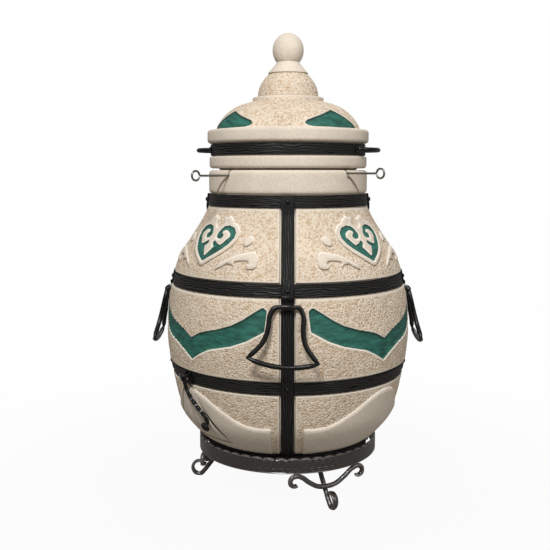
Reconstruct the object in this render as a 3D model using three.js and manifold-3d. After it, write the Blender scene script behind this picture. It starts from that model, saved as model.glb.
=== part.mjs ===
// Ceramic tandoor oven: a banded clay vessel with a hollow lid and a lift-out cap on a forged stand.
// Millimetres, +Z up, the floor at z = 0 and the vessel's axis on x = y = 0.
// An azimuth is counted from the front (-Y) towards +X.
import * as THREE from 'three';
import { mergeVertices } from 'three/addons/utils/BufferGeometryUtils.js';
import Module from 'manifold-3d';

const wasm = await Module();
wasm.setup();

// Fits and shared steps
const gap = 0.3;            // running and seating clearance between two pieces
const overrun = 30;         // how far a cutter runs past what it cuts
const weldDistance = 1e-4;  // points nearer than this are one point
const facets = 40;          // facets round everything turned about the oven's axis
const facetTurn = Math.PI * 2 / facets;

// Vessel
const standHeight = 104;    // floor to the underside of the vessel
const vesselHeight = 708;
const bellyRadius = 310;
const petalRise = 4.6;      // how far the moulded petals stand off the belly
const chevronDepth = 4;     // how deep the chevrons are sunk in it
const slitWidth = 2.4;      // expansion slits sawn in the collar
const slitDepth = 12;
const slitRun = 52;         // how far round the collar each one leans
const baseRadius = 204;
const collarRadius = 200.5;
const mouthRadius = 150;
const wall = 52;
const floorThickness = 46;
const collarHeight = 58;
const collarRound = 7;

// Steel hoops and straps
const steelThickness = 4;
const hoopWidth = 30;
const seatDepth = 5;        // how deep the belly hoops lie in the clay
const troughDepth = 5.7;    // how deep the straps lie in it
const seatMargin = 3;       // bare clay beside a hoop or strap at the bottom of its seat
const baseHoopWidth = 30;
const lowerHoopShare = 0.30226; // middle of each belly hoop, in shares of the vessel's height
const upperHoopShare = 0.61864;
const joggleRun = 9;        // length over which a strap steps up onto a hoop
const strapAzimuths = { front: 0, right: 90, back: 180, left: 270 };
const boltDiameter = 10;
const boltHeight = 4.5;

// Carrying handles
const pivotDrop = 34;       // from the middle of the upper hoop down to the handles' pivots
const handleBar = 10;
const handleDrop = 134;
const handleHalfWidth = 76.5;
const handleLean = 14;      // degrees, out from the vertical
const gripSagShare = 1.115; // how far below the drop the grip's curve is drawn
const bracketWidth = 28;
const bracketSteel = 3;
const bracketHeight = 32;
const rollStart = 180;      // degrees of the eye's roll, from the strap's side of it
const rollEnd = 475;
const boreClearance = 0.6;

// Air door and its latch
const doorAzimuth = -54;     // on the middle of a facet
const doorSill = 56;        // above the vessel's underside
const doorTuck = 1;         // how far the doorway runs up behind the lower hoop
const doorHalfWidth = 88;
const doorSlit = 2;
const doorProud = 4.4;
const latchBar = 8;
const latchPin = 6;
const latchStandOff = 8;
const latchPinAcross = 14;  // sideways from the middle of the door
const latchEar = 4;
const latchEarSpan = 13;    // clear space between the two ears
const latchTwists = 3;
const twistStartShare = 0.15;   // where the twist of the bar begins, and how far it runs
const twistRunShare = 0.6;
const latchEyeShare = 0.9;  // the lower eye's bar over the latch bar
const hubStart = -90;       // degrees of the two eyes' and the finger ring's bends
const hubEnd = 228;
const latchEyeStart = 90;
const latchEyeEnd = 390;
const pinRingEnd = 330;
const ringSteps = 12;       // bends drawn round an eye or a ring
const latchDrop = 118;      // from the pin down to the lower eye
const latchSweep = 69;      // farthest sideways from the middle of the door
const pinRing = 14;
const pinNeckShare = 0.35;  // how far the pin stands out before its ring, over the ring's width
const pinRingShare = 0.6;   // the ring's bar over the pin

// Hanging rods
const rodBar = 5;
const rodEyeWidth = 27;
const rodEyeReach = 300;
const rodTailLength = 14;
const notchWidth = 9;
const lowNotchDepth = 16;
const rodEyeTurn = 336;     // degrees of the eye's bend
const rodAzimuths = { low: -45, high: 45 };

// Fire grate
const grateRadius = 138;
const grateThickness = 9;
const grateLegs = 38;
const grateSlot = 12;
const grateBarWidth = 12;
const grateRimWidth = 12;
const grateLegAzimuths = [45, 135, 225, 315];
const grateLegShare = 0.45; // a leg's radius at the top over the rim's width
const grateTaperShare = 0.8;    // a leg's foot over its top

// Lid
const lidTurn = -9;         // degrees the lid is turned on the collar
const padInner = 154;
const padOuter = 172;
const padHeight = 4;
const lowerFlangeRadius = 199;
const lowerFlangeHeight = 29;
const lidGrooveRadius = 191.5;
const lidGrooveHeight = 33;
const lidHoopWidth = 28;
const upperFlangeRadius = 203.5;
const upperFlangeHeight = 33;
const flangeRound = 6;
const domeRadius = 181;
const domeRise = 71;
const domeTopRadius = 89.6;
const leafDepth = 3;        // how deep the lid's leaves are sunk in the dome
const topRingHeight = 10.5;
const ventRadius = 47.5;
const lidWall = 44;

// Lid handles
const lidHandleAzimuths = { right: 90, left: 270 };
const lidHandleHalfAngle = 21;
const lidHandleReach = 228;
const lidHandleBar = 11;
const lidFootLength = 26;
const lidFootWidth = 16;
const lidFootSteel = 3;

// Finial cap
const capHeight = 159;
const capSkirtRadius = 76.5;
const spigotClearance = 1;
const spigotLength = 36;
const capConeShares = [[1, 0.03], [0.985, 0.06], [0.96, 0.107], [0.83, 0.21], [0.643, 0.374]];
const capNeckRadius = 29.8;
const capNeckShare = 0.545;
const ballRadius = 39;
const ballStretch = 1.1;    // the ball's height over its width
const ballStart = -48;      // degrees below the ball's middle where the neck meets it
const ballSteps = 7;

// Stand
const ringStandOff = 27;    // from the vessel's foot to the ring's outer side
const ringHeight = 42;
const ringThickness = 6;
const ringBottom = 93;
const spiderWidth = 30;
const spiderThickness = 5.7;
const legAzimuths = [27, 147, 267];
const legBar = 12;
const bowBar = 12;
const footStandOut = 5;     // from the ring's outer side to the middle of each scroll
const scrollRadius = 18;
const scrollStart = -100;   // degrees of the scroll's bend
const scrollEnd = 128;
const legLean = 55;         // degrees, up from the level
const bowInset = 19;        // from the ring's outer side to the plane of each bow
const bowHalfSpan = 83;
const bowDip = 38;
const bowCurl = 12;         // radius of each end's curl
const curlShift = 5;        // how far the curl's middle lies beyond the half span
const curlStart = 60;       // degrees of the curl's bend
const curlEnd = -115;
const fishtailShare = 0.8;  // where along each half the bar begins to flatten
const fishtailWidth = 19;
const fishtailThickness = 5.5;
const footFlat = 3;         // how deep the round of each foot is filed flat

// Working values that follow from the sizes above
const baseZ = standHeight;
const rimZ = baseZ + vesselHeight;
const collarZ = rimZ - collarHeight;
const neckHoopZ = collarZ - hoopWidth / 2;
const lowerHoopZ = baseZ + lowerHoopShare * vesselHeight;
const upperHoopZ = baseZ + upperHoopShare * vesselHeight;
const baseHoopTop = baseZ + baseHoopWidth;
const bellyBottom = baseHoopTop + gap;
const bellyTop = neckHoopZ - hoopWidth / 2 - seatMargin;
const hoopFit = steelThickness + gap;
const neckHoopEnds = [neckHoopZ - hoopWidth / 2, neckHoopZ + hoopWidth / 2 - gap];
const ringRadius = baseRadius + ringStandOff;
const footReach = ringRadius + footStandOut;
const bowReach = ringRadius - bowInset;
const doorHeight = lowerHoopZ - hoopWidth / 2 + doorTuck - baseZ - doorSill;

const radians = THREE.MathUtils.degToRad;
const clay = new THREE.MeshStandardMaterial({ color: 0xdbc8aa, roughness: 0.92, metalness: 0 });
const smoothClay = new THREE.MeshStandardMaterial({ color: 0xe0d3bd, roughness: 0.8, metalness: 0 });
const blackSteel = new THREE.MeshStandardMaterial({ color: 0x1e1f1f, roughness: 0.45, metalness: 0.6 });
const forgedSteel = new THREE.MeshStandardMaterial({ color: 0x4a4340, roughness: 0.5, metalness: 0.8 });
const castIron = new THREE.MeshStandardMaterial({ color: 0x3a3a3b, roughness: 0.7, metalness: 0.7 });
const brightSteel = new THREE.MeshStandardMaterial({ color: 0x8e8d88, roughness: 0.35, metalness: 0.9 });

const oven = new THREE.Group();

// Closed meshes in and out of the solid library

function toSolid(geometry) {
  const plain = (geometry.index ? geometry.toNonIndexed() : geometry.clone());
  plain.deleteAttribute('normal');
  plain.deleteAttribute('uv');
  const merged = mergeVertices(plain, weldDistance);
  const triVerts = new Uint32Array(merged.index.array);
  const vertProperties = new Float32Array(merged.attributes.position.array);
  if (signedVolume(vertProperties, triVerts) < 0) {
    for (let i = 0; i < triVerts.length; i += 3) {
      const first = triVerts[i];
      triVerts[i] = triVerts[i + 1];
      triVerts[i + 1] = first;
    }
  }
  return new wasm.Manifold(new wasm.Mesh({ numProp: 3, vertProperties, triVerts }));
}

function signedVolume(points, triangles) {
  const [a, b, c] = [new THREE.Vector3(), new THREE.Vector3(), new THREE.Vector3()];
  let sum = 0;
  for (let i = 0; i < triangles.length; i += 3) {
    a.fromArray(points, triangles[i] * 3);
    b.fromArray(points, triangles[i + 1] * 3);
    c.fromArray(points, triangles[i + 2] * 3);
    sum += a.dot(b.cross(c));
  }
  return sum / 6;
}

function toGeometry(solid) {
  const mesh = solid.getMesh();
  const geometry = new THREE.BufferGeometry();
  geometry.setAttribute('position', new THREE.BufferAttribute(mesh.vertProperties, 3));
  geometry.setIndex(new THREE.BufferAttribute(mesh.triVerts, 1));
  return geometry;
}

function addPiece(name, solid, material, azimuth = 0) {
  const mesh = new THREE.Mesh(toGeometry(solid), material);
  mesh.name = name;
  mesh.rotation.z = radians(azimuth);
  oven.add(mesh);
}

function turned(solid, azimuth) {
  return solid.rotate([0, 0, azimuth]);
}

// Solids made by turning, extruding and sweeping

// A profile of [radius, height] pairs turned about the oven's axis, with a facet's middle at the front.
function revolve(profile, segments = facets) {
  const points = profile.map(([r, z]) => new THREE.Vector2(r, z));
  const onAxis = points[0].x === 0 && points[points.length - 1].x === 0;
  if (!onAxis) points.push(points[0].clone());
  const lathe = new THREE.LatheGeometry(points, segments, Math.PI / segments, Math.PI * 2);
  return toSolid(lathe.rotateX(Math.PI / 2));
}

// The radius at a facet's middle of something turned to the given radius.
function flat(radius) {
  return radius * Math.cos(facetTurn / 2);
}

// A round corner from one [radius, height] to another about a centre.
function corner([cx, cy], radius, from, to, steps = 2) {
  return Array.from({ length: steps + 1 }, (_, i) => {
    const angle = radians(from + (to - from) * i / steps);
    return [cx + radius * Math.cos(angle), cy + radius * Math.sin(angle)];
  });
}

function outlineShape(points) {
  return new THREE.Shape(points.map(([x, y]) => new THREE.Vector2(x, y)));
}

// An outline in the front's radius-height plane, extruded sideways to the given width.
function sideExtrusion(points, width) {
  const body = new THREE.ExtrudeGeometry(outlineShape(points), { depth: width, bevelEnabled: false });
  body.translate(0, 0, -width / 2);
  body.rotateX(Math.PI / 2);
  body.rotateZ(-Math.PI / 2);
  return toSolid(body);
}

// An outline in the across-height plane, extruded outwards from one distance to another.
function frontExtrusion(points, from, to) {
  const body = new THREE.ExtrudeGeometry(outlineShape(points), { depth: to - from, bevelEnabled: false });
  body.rotateX(Math.PI / 2);
  body.translate(0, -from, 0);
  return toSolid(body);
}

// The outer side of a strip of even thickness whose inner side follows the points.
function outerSide(points, thickness) {
  const inner = points.map(([x, y]) => new THREE.Vector2(x, y));
  return inner.map((point, i) => {
    const before = inner[Math.max(i - 1, 0)];
    const after = inner[Math.min(i + 1, inner.length - 1)];
    const back = point.clone().sub(before).normalize();
    const ahead = after.clone().sub(point).normalize();
    if (i === 0) back.copy(ahead);
    if (i === inner.length - 1) ahead.copy(back);
    const along = back.add(ahead).normalize();
    const miter = thickness / Math.max(along.dot(ahead), 0.5);
    return [point.x + along.y * miter, point.y - along.x * miter];
  });
}

function stripOutline(points, thickness) {
  return [...points, ...outerSide(points, thickness).reverse()];
}

// The radius of a line of [radius, height] points at a height.
function radiusOn(line, height) {
  for (let i = 1; i < line.length; i++) {
    const [r0, z0] = line[i - 1];
    const [r1, z1] = line[i];
    if (height <= z1) return r0 + (r1 - r0) * (height - z0) / (z1 - z0);
  }
  return line[line.length - 1][0];
}

// The stretch of such a line between two heights, set out by an offset.
function stretch(line, from, to, offset) {
  const inside = line.filter(([, z]) => z > from + gap && z < to - gap);
  return [[radiusOn(line, from), from], ...inside, [radiusOn(line, to), to]].map(([r, z]) => [r + offset, z]);
}

// A bar swept along a curve. The section at each share of its length gives two widths and a turn.
function sweep(curve, steps, sides, sectionAt) {
  const frames = curve.computeFrenetFrames(steps, false);
  const positions = [];
  const triangles = [];
  for (let i = 0; i <= steps; i++) {
    const share = i / steps;
    const centre = curve.getPointAt(share);
    const { wide, deep, turn = 0 } = sectionAt(share);
    for (let k = 0; k < sides; k++) {
      const angle = Math.PI * 2 * k / sides;
      const x = Math.cos(angle) * wide / 2;
      const y = Math.sin(angle) * deep / 2;
      const point = centre.clone();
      point.addScaledVector(frames.normals[i], x * Math.cos(turn) - y * Math.sin(turn));
      point.addScaledVector(frames.binormals[i], x * Math.sin(turn) + y * Math.cos(turn));
      positions.push(point.x, point.y, point.z);
    }
  }
  for (let i = 0; i < steps; i++) {
    for (let k = 0; k < sides; k++) {
      const a = i * sides + k;
      const b = i * sides + (k + 1) % sides;
      triangles.push(a, b, b + sides, a, b + sides, a + sides);
    }
  }
  for (let k = 1; k < sides - 1; k++) {
    const end = steps * sides;
    triangles.push(0, k + 1, k, end, end + k, end + k + 1);
  }
  const geometry = new THREE.BufferGeometry();
  geometry.setAttribute('position', new THREE.Float32BufferAttribute(positions, 3));
  geometry.setIndex(triangles);
  return toSolid(geometry);
}

function roundBar(diameter) {
  return () => ({ wide: diameter, deep: diameter });
}

// Vessel

// Half of the belly from the base up: shares of the belly's height and of the belly's radius.
const bellyShares = [
  [0, 0.665], [0.031, 0.748], [0.108, 0.864], [0.187, 0.918], [0.313, 0.969], [0.374, 0.988],
  [0.463, 1], [0.6, 0.983], [0.694, 0.947], [0.747, 0.924], [0.813, 0.869], [0.869, 0.796],
  [0.948, 0.702], [1, 0.652],
];
const bellySteps = 13;
const bellyCurve = new THREE.SplineCurve(bellyShares.map(([rise, reach]) => {
  return new THREE.Vector2(reach * bellyRadius, bellyBottom + rise * (bellyTop - bellyBottom));
}));
const bellyOutline = bellyCurve.getPoints(bellySteps).map((point) => [point.x, point.y]);

function bellyAt(height) {
  return radiusOn(bellyOutline, height);
}

function seatAt(height) {
  return bellyAt(height) - seatDepth;
}

const neckSeatRadius = collarRadius - gap;
const bellyHoops = [lowerHoopZ, upperHoopZ];

function inHoopSeat(height) {
  return bellyHoops.some((z) => Math.abs(height - z) < hoopWidth / 2 + seatMargin + gap);
}

// The belly's outline with the seats of the two belly hoops let into it.
function seatedOutline() {
  const half = hoopWidth / 2 + seatMargin;
  const outline = bellyOutline.filter(([, z]) => !inHoopSeat(z));
  for (const z of bellyHoops) {
    const start = outline.findIndex(([, height]) => height > z);
    outline.splice(start, 0, [bellyAt(z - half), z - half], [seatAt(z - half), z - half],
      [seatAt(z + half), z + half], [bellyAt(z + half), z + half]);
  }
  return outline;
}

// The heights at which the inner wall follows the belly, in shares of the belly's height.
const cavityShares = [0.86, 0.72, 0.5, 0.28, 0.09];

// The inner wall, from the mouth down to the middle of the floor.
function cavityOutline() {
  const floorZ = baseZ + floorThickness;
  const inside = cavityShares.map((share) => {
    const z = bellyBottom + share * (bellyTop - bellyBottom);
    return [bellyAt(z) - wall, z];
  });
  const edge = corner([mouthRadius + collarRound, rimZ - collarRound], collarRound, 90, 180);
  const floorEdge = inside[inside.length - 1][0] - wall / 2;
  return [
    [0, rimZ + overrun], [mouthRadius + collarRound, rimZ + overrun], ...edge, [mouthRadius, collarZ],
    ...inside, [floorEdge, floorZ], [0, floorZ],
  ];
}

function notchCutter(depth, azimuth) {
  const half = notchWidth / 2;
  const centre = rimZ - depth + half;
  const round = corner([0, centre], half, 180, 360, 4);
  const outline = [[half, rimZ + overrun], [-half, rimZ + overrun], ...round];
  return turned(frontExtrusion(outline, -collarRadius - overrun, collarRadius + overrun), azimuth);
}

// The trough follows the inner side of the strap that lies in it.
function strapTrough() {
  const low = [flat(baseRadius + hoopFit), bellyBottom];
  const floor = strapPath().filter(([, z]) => z > bellyBottom && z < neckHoopZ).map(([r, z]) => [r - gap, z]);
  const outer = bellyRadius + overrun;
  const outline = [low, ...floor, [outer, floor[floor.length - 1][1]], [outer, low[1]]];
  return sideExtrusion(outline, hoopWidth + seatMargin * 2);
}

// The moulded ornament of one quarter: shares of the way from the front strap to the right one,
// and of the belly's height.
const petalShares = [
  [0.1, 0], [0.1, 0.12], [0.117, 0.136], [0.222, 0.148], [0.371, 0.202], [0.489, 0.253], [0.582, 0.269],
  [0.668, 0.259], [0.76, 0.2], [0.844, 0.15], [0.889, 0.136], [0.9, 0.12], [0.9, 0],
];
const chevronShares = [
  [0.119, 0.632], [0.217, 0.581], [0.354, 0.535], [0.463, 0.513], [0.526, 0.487], [0.589, 0.513],
  [0.7, 0.536], [0.833, 0.581], [0.909, 0.632], [0.918, 0.54], [0.776, 0.475], [0.65, 0.451],
  [0.587, 0.429], [0.526, 0.398], [0.463, 0.427], [0.401, 0.451], [0.274, 0.475], [0.109, 0.54],
];
const quarterMiddle = 45;
const middleShare = 0.5;

// A solid of the front right quarter, repeated in all four as in a pair of mirrors.
function inFourQuarters(solid) {
  const front = solid.add(solid.mirror([1, 0, 0]));
  return front.add(front.mirror([0, 1, 0]));
}

// What lies within an ornament's outline between two radial distances from a turned surface.
function ornament(shares, line, inner, outer) {
  const [low, high] = [line[0][1], line[line.length - 1][1]];
  const outline = shares.map(([turn, rise]) => {
    const z = low + rise * (high - low);
    return [radiusOn(line, z) * Math.sin(Math.PI / 2 * (turn - middleShare)), z];
  });
  const shell = revolve([
    ...line.map(([r, z]) => [r + outer, z]),
    ...line.map(([r, z]) => [r + inner, z]).reverse(),
  ]);
  const prism = frontExtrusion(outline, 0, line[0][0] + bellyRadius + overrun);
  return inFourQuarters(shell.intersect(turned(prism, quarterMiddle)));
}

// The slit from each notch down to the collar's lower edge: shares of its run and of its drop.
const slitShares = [[0, 0], [0.2, 0.1], [0.55, 0.42], [0.85, 0.8], [1, 1]];

function collarSlits() {
  const drop = collarHeight - lowNotchDepth;
  const start = rimZ - lowNotchDepth + gap;
  const line = slitShares.map(([run, down]) => [(run - middleShare) * slitRun, start - down * drop]);
  const saw = frontExtrusion(stripOutline(line, slitWidth), collarRadius - slitDepth, collarRadius + overrun);
  const turn = THREE.MathUtils.radToDeg(Math.asin(middleShare * slitRun / collarRadius));
  return inFourQuarters(turned(saw, rodAzimuths.high + turn));
}

// Half of the door's arch: shares of its half width and of its height, from the sill up.
const archShares = [
  [1, 0], [0.985, 0.17], [0.87, 0.35], [0.67, 0.53], [0.5, 0.69], [0.36, 0.82], [0.19, 0.94],
];

function archOutline(inset) {
  const half = new THREE.SplineCurve([...archShares, [0, 1]].map(([across, up]) => {
    return new THREE.Vector2(across * (doorHalfWidth - inset), up * (doorHeight - inset));
  })).getPoints(9);
  const sill = baseZ + doorSill;
  const right = half.map((point) => [point.x, sill + point.y]);
  const left = right.slice(0, -1).reverse().map(([x, z]) => [-x, z]);
  return [...right, ...left];
}

function makeVessel() {
  const rim = corner([collarRadius - collarRound, rimZ - collarRound], collarRound, 0, 90);
  const low = corner([collarRadius - collarRound, collarZ + collarRound], collarRound, 270, 360);
  const outside = [
    [0, baseZ], [baseRadius, baseZ], [baseRadius, bellyBottom], ...seatedOutline(),
    [neckSeatRadius, bellyTop], [neckSeatRadius - steelThickness, collarZ], ...low, ...rim, [0, rimZ],
  ];
  const straps = wasm.Manifold.union(Object.values(strapAzimuths).map((a) => turned(strapTrough(), a)));
  return revolve(outside)
    .add(ornament(petalShares, bellyOutline, -wall / 2, petalRise))
    .subtract(ornament(chevronShares, bellyOutline, -chevronDepth, overrun))
    .subtract(revolve(cavityOutline(), facets / 2))
    .subtract(notchCutter(lowNotchDepth, rodAzimuths.low))
    .subtract(notchCutter(lowNotchDepth - rodBar - gap, rodAzimuths.high))
    .subtract(collarSlits())
    .subtract(turned(frontExtrusion(archOutline(0), grateRadius, bellyRadius + overrun), doorAzimuth))
    .subtract(straps);
}

addPiece('vessel', makeVessel(), clay);

// Hoops

// A hoop whose inner side follows the given [radius, height] points, from its lower to its upper edge.
function hoop(points, thickness = steelThickness) {
  const inner = points.map(([r, z]) => [r + gap, z]);
  const outer = points.map(([r, z]) => [r + gap + thickness, z]).reverse();
  return revolve([...inner, ...outer]);
}

function bellyHoop(z) {
  return hoop([z - hoopWidth / 2, z + hoopWidth / 2].map((height) => [seatAt(height), height]));
}

function neckHoopInner(z) {
  const share = (z - bellyTop) / (collarZ - bellyTop);
  return neckSeatRadius - steelThickness * share;
}

addPiece('base_band', hoop([[baseRadius, baseZ + gap], [baseRadius, baseHoopTop]]), blackSteel);
addPiece('lower_band', bellyHoop(lowerHoopZ), blackSteel);
addPiece('upper_band', bellyHoop(upperHoopZ), blackSteel);
addPiece('neck_band', hoop(neckHoopEnds.map((z) => [neckHoopInner(z), z])), blackSteel);

// Straps

// The strap's inner side, from its foot on the base hoop over both belly hoops to the neck hoop.
function strapPath() {
  const half = hoopWidth / 2;
  const lift = hoopFit + gap;
  const path = [[baseRadius + lift, baseZ + seatMargin], [baseRadius + lift, baseHoopTop]];
  const rise = bellyOutline.filter(([, z]) => z > bellyBottom + gap && z < bellyTop - joggleRun);
  for (const [r, z] of rise) {
    const nearHoop = bellyHoops.some((height) => Math.abs(z - height) < half + joggleRun);
    if (!nearHoop) path.push([r - troughDepth + gap, z]);
  }
  for (const z of bellyHoops) {
    const start = path.findIndex(([, height]) => height > z);
    const reach = half + joggleRun;
    const low = seatDepth - troughDepth + gap;
    const steps = [[-reach, low], [-half, lift], [half, lift], [reach, low]];
    path.splice(start, 0, ...steps.map(([up, out]) => [seatAt(z + up) + out, z + up]));
  }
  for (const z of neckHoopEnds) path.push([neckHoopInner(z) + lift, z]);
  return path.map(([r, z]) => [flat(r), z]);
}

const strapProfile = stripOutline(strapPath(), steelThickness);
const strapOuter = outerSide(strapPath(), steelThickness);

function strapFace(height) {
  return radiusOn(strapOuter, height);
}

// A bolt's dome head: shares of its radius and of its height.
const boltShares = [[0, 0], [1, 0], [0.85, 0.7], [0, 1]];

function domeBolt() {
  const points = boltShares.map(([out, up]) => new THREE.Vector2(out * boltDiameter / 2, up * boltHeight));
  return toSolid(new THREE.LatheGeometry(points, 6)).rotate([180, 0, 0]);
}

// A bolt on a face that slopes by the given angle.
function boltAt(height, face, slope) {
  return domeBolt().rotate([slope, 0, 0]).translate([0, -face, height]);
}

const crossings = { lower: lowerHoopZ, upper: upperHoopZ, neck: (neckHoopEnds[0] + neckHoopEnds[1]) / 2 };
for (const [side, azimuth] of Object.entries(strapAzimuths)) {
  addPiece(`strap_${side}`, sideExtrusion(strapProfile, hoopWidth), blackSteel, azimuth);
  for (const [level, height] of Object.entries(crossings)) {
    const reach = boltDiameter / 2;
    const slope = THREE.MathUtils.radToDeg(Math.atan2(
      strapFace(height - reach) - strapFace(height + reach), boltDiameter));
    addPiece(`bolt_${level}_${side}`, boltAt(height, strapFace(height) + gap, -slope), blackSteel, azimuth);
  }
}

// Carrying handles

const pivotZ = upperHoopZ - pivotDrop;
const bore = handleBar / 2 + boreClearance;
const pivotReach = strapFace(pivotZ - bore - bracketSteel) + gap + bracketSteel + bore;

// One plate: flat on the strap, its lower end rolled round the handle's bar.
function handleBracket() {
  const top = pivotZ + bracketHeight - bore - bracketSteel;
  const plate = stretch(strapOuter, pivotZ + bore, top, gap + bracketSteel).reverse();
  const roll = corner([pivotReach, pivotZ], bore, rollStart, rollEnd, 14);
  return sideExtrusion(stripOutline([...plate, ...roll], bracketSteel), bracketWidth);
}

// Half of the bell-shaped loop: shares of its half width and of its drop.
const bellShares = [
  [0.27, 0], [0.47, 0.07], [0.56, 0.22], [0.575, 0.4], [0.66, 0.6], [0.83, 0.79], [1, 0.875],
];

function carryHandle() {
  const drop = handleDrop;
  const start = bracketWidth / 2 + handleBar;
  const side = bellShares.map(([across, down], i) => {
    return new THREE.Vector3(i === 0 ? start : across * handleHalfWidth, 0, -down * drop);
  });
  const mirror = side.map((point) => new THREE.Vector3(-point.x, 0, point.z)).reverse();
  const middle = [new THREE.Vector3(-bracketWidth / 2, 0, 0), new THREE.Vector3(bracketWidth / 2, 0, 0)];
  const arch = new THREE.CatmullRomCurve3([...mirror, ...middle, ...side], false, 'catmullrom', 0.5);
  const end = side[side.length - 1];
  const grip = new THREE.QuadraticBezierCurve3(
    new THREE.Vector3(-end.x - handleBar / 2, 0, end.z), new THREE.Vector3(0, 0, -drop * gripSagShare),
    new THREE.Vector3(end.x + handleBar / 2, 0, end.z));
  const loop = sweep(arch, 22, 6, roundBar(handleBar)).add(sweep(grip, 5, 6, roundBar(handleBar)));
  return loop.rotate([-handleLean, 0, 0]).translate([0, -pivotReach, pivotZ]);
}

for (const [side, azimuth] of Object.entries(strapAzimuths)) {
  addPiece(`handle_bracket_${side}`, handleBracket(), blackSteel, azimuth);
  addPiece(`carry_handle_${side}`, carryHandle(), blackSteel, azimuth);
}

// Air door

function makeDoor() {
  const plug = frontExtrusion(archOutline(doorSlit), grateRadius, bellyRadius + overrun);
  const outer = bellyOutline.map(([r, z]) => [r + doorProud, z]);
  const inner = bellyOutline.map(([r, z]) => [r - wall, z]).reverse();
  const lowered = plug.translate([0, 0, gap]);
  return turned(lowered, doorAzimuth).intersect(revolve([...outer, ...inner]));
}

addPiece('door_plug', makeDoor(), smoothClay);

// Latch

const latchPivotZ = lowerHoopZ;
const latchHub = latchPin / 2 + gap + latchBar / 2 * Math.cos(Math.PI / 6);
const latchReach = seatAt(latchPivotZ) + hoopFit + gap + bracketSteel + latchHub + latchBar / 2 + gap;

// Two ears standing on a plate that lies on the lower hoop.
function latchBracket() {
  const outerWidth = latchEarSpan + latchEar * 2;
  const back = [-hoopWidth / 2, hoopWidth / 2].map((up) => {
    return [flat(seatAt(latchPivotZ + up) + hoopFit) + gap, latchPivotZ + up];
  });
  const plate = sideExtrusion(stripOutline(back, bracketSteel), outerWidth);
  const nose = latchReach + latchPin;
  const root = back.map(([r, z]) => [r + gap, z]);
  const ear = [root[0], [nose, latchPivotZ - latchPin], [nose, latchPivotZ + latchPin], root[1]];
  const round = corner([latchReach, latchPivotZ], latchPin / 2 + gap, 0, 360, 12).slice(0, -1);
  const hole = sideExtrusion(round, overrun * 2);
  const ears = [-1, 1].map((side) => {
    const across = side * (latchEarSpan + latchEar) / 2;
    return sideExtrusion(ear, latchEar).translate([across, 0, 0]);
  });
  return plate.add(ears[0]).add(ears[1]).subtract(hole).translate([latchPinAcross, 0, 0]);
}

// The pin through both ears, with a finger ring bent on its left end.
function makeLatchPin() {
  const half = latchEarSpan / 2 + latchEar;
  const right = half + latchPin / 2;
  const left = -half - pinRing * pinNeckShare;
  const radius = (pinRing - latchPin * pinRingShare) / 2;
  const line = new THREE.LineCurve3(new THREE.Vector3(right, 0, 0), new THREE.Vector3(left, 0, 0));
  const straight = sweep(line, 1, 8, roundBar(latchPin));
  const bend = corner([left - radius, 0], radius, 0, pinRingEnd, ringSteps);
  const ring = new THREE.CatmullRomCurve3(bend.map(([across, up]) => new THREE.Vector3(across, 0, up)));
  const bent = sweep(ring, ringSteps, 5, roundBar(latchPin * pinRingShare));
  return straight.add(bent).translate([latchPinAcross, -latchReach, latchPivotZ]);
}

// The bar's route: shares of its sideways sweep from the door's middle and of its drop below the pin.
const latchShares = [
  [0.2, 0.1], [0.25, 0.25], [0.45, 0.42], [0.68, 0.56], [0.91, 0.69], [1, 0.83], [0.9, 0.95], [0.72, 1],
];

function onBelly(across, z, standOff) {
  const radius = bellyAt(z) + standOff;
  return new THREE.Vector3(across, -Math.sqrt(radius * radius - across * across), z);
}

// A twisted square bar hung on the pin by an eye, with a second eye curled at its lower end.
function makeLatchBar() {
  const standOff = doorProud + latchStandOff + latchBar / 2;
  const route = latchShares.map(([across, down]) => {
    return onBelly(across * latchSweep, latchPivotZ - down * latchDrop, standOff);
  });
  const hub = corner([-latchReach, latchPivotZ], latchHub, hubStart, hubEnd, ringSteps);
  const hubRing = new THREE.CatmullRomCurve3(hub.map(([y, z]) => new THREE.Vector3(latchPinAcross, y, z)));
  const start = new THREE.Vector3(latchPinAcross, -latchReach, latchPivotZ - latchHub);
  const spine = new THREE.CatmullRomCurve3([start, ...route], false, 'catmullrom', 0.5);
  const tail = route[route.length - 1];
  const bend = corner([tail.x, tail.z - latchBar], latchBar, latchEyeStart, latchEyeEnd, ringSteps - 1);
  const eye = new THREE.CatmullRomCurve3(bend.map(([across, z]) => onBelly(across, z, standOff)));
  const twist = (share) => {
    const middle = THREE.MathUtils.clamp((share - twistStartShare) / twistRunShare, 0, 1);
    const across = latchBar * Math.SQRT2;
    return { wide: across, deep: across, turn: Math.PI / 4 + Math.PI * middle * latchTwists };
  };
  return sweep(spine, 30, 4, twist)
    .add(sweep(hubRing, ringSteps, 6, roundBar(latchBar)))
    .add(sweep(eye, ringSteps, 6, roundBar(latchBar * latchEyeShare)));
}

addPiece('latch_bracket', latchBracket(), blackSteel, doorAzimuth);
addPiece('latch_pin', makeLatchPin(), blackSteel, doorAzimuth);
addPiece('latch_bar', makeLatchBar(), blackSteel, doorAzimuth);

// Hanging rods

function hangingRod(depth) {
  const z = rimZ - depth + rodBar / 2 + gap;
  const radius = (rodEyeWidth - rodBar) / 2;
  const eyeStart = rodEyeReach - radius;
  const front = new THREE.Vector3(0, -eyeStart - rodBar / 4, z);
  const rear = new THREE.Vector3(0, collarRadius + rodTailLength, z);
  const straight = sweep(new THREE.LineCurve3(front, rear), 1, 8, roundBar(rodBar));
  const eye = corner([-rodEyeReach, z], radius, 0, rodEyeTurn, 14);
  const ring = new THREE.CatmullRomCurve3(eye.map(([y, up]) => new THREE.Vector3(0, y, up)));
  return straight.add(sweep(ring, 16, 6, roundBar(rodBar)));
}

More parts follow.
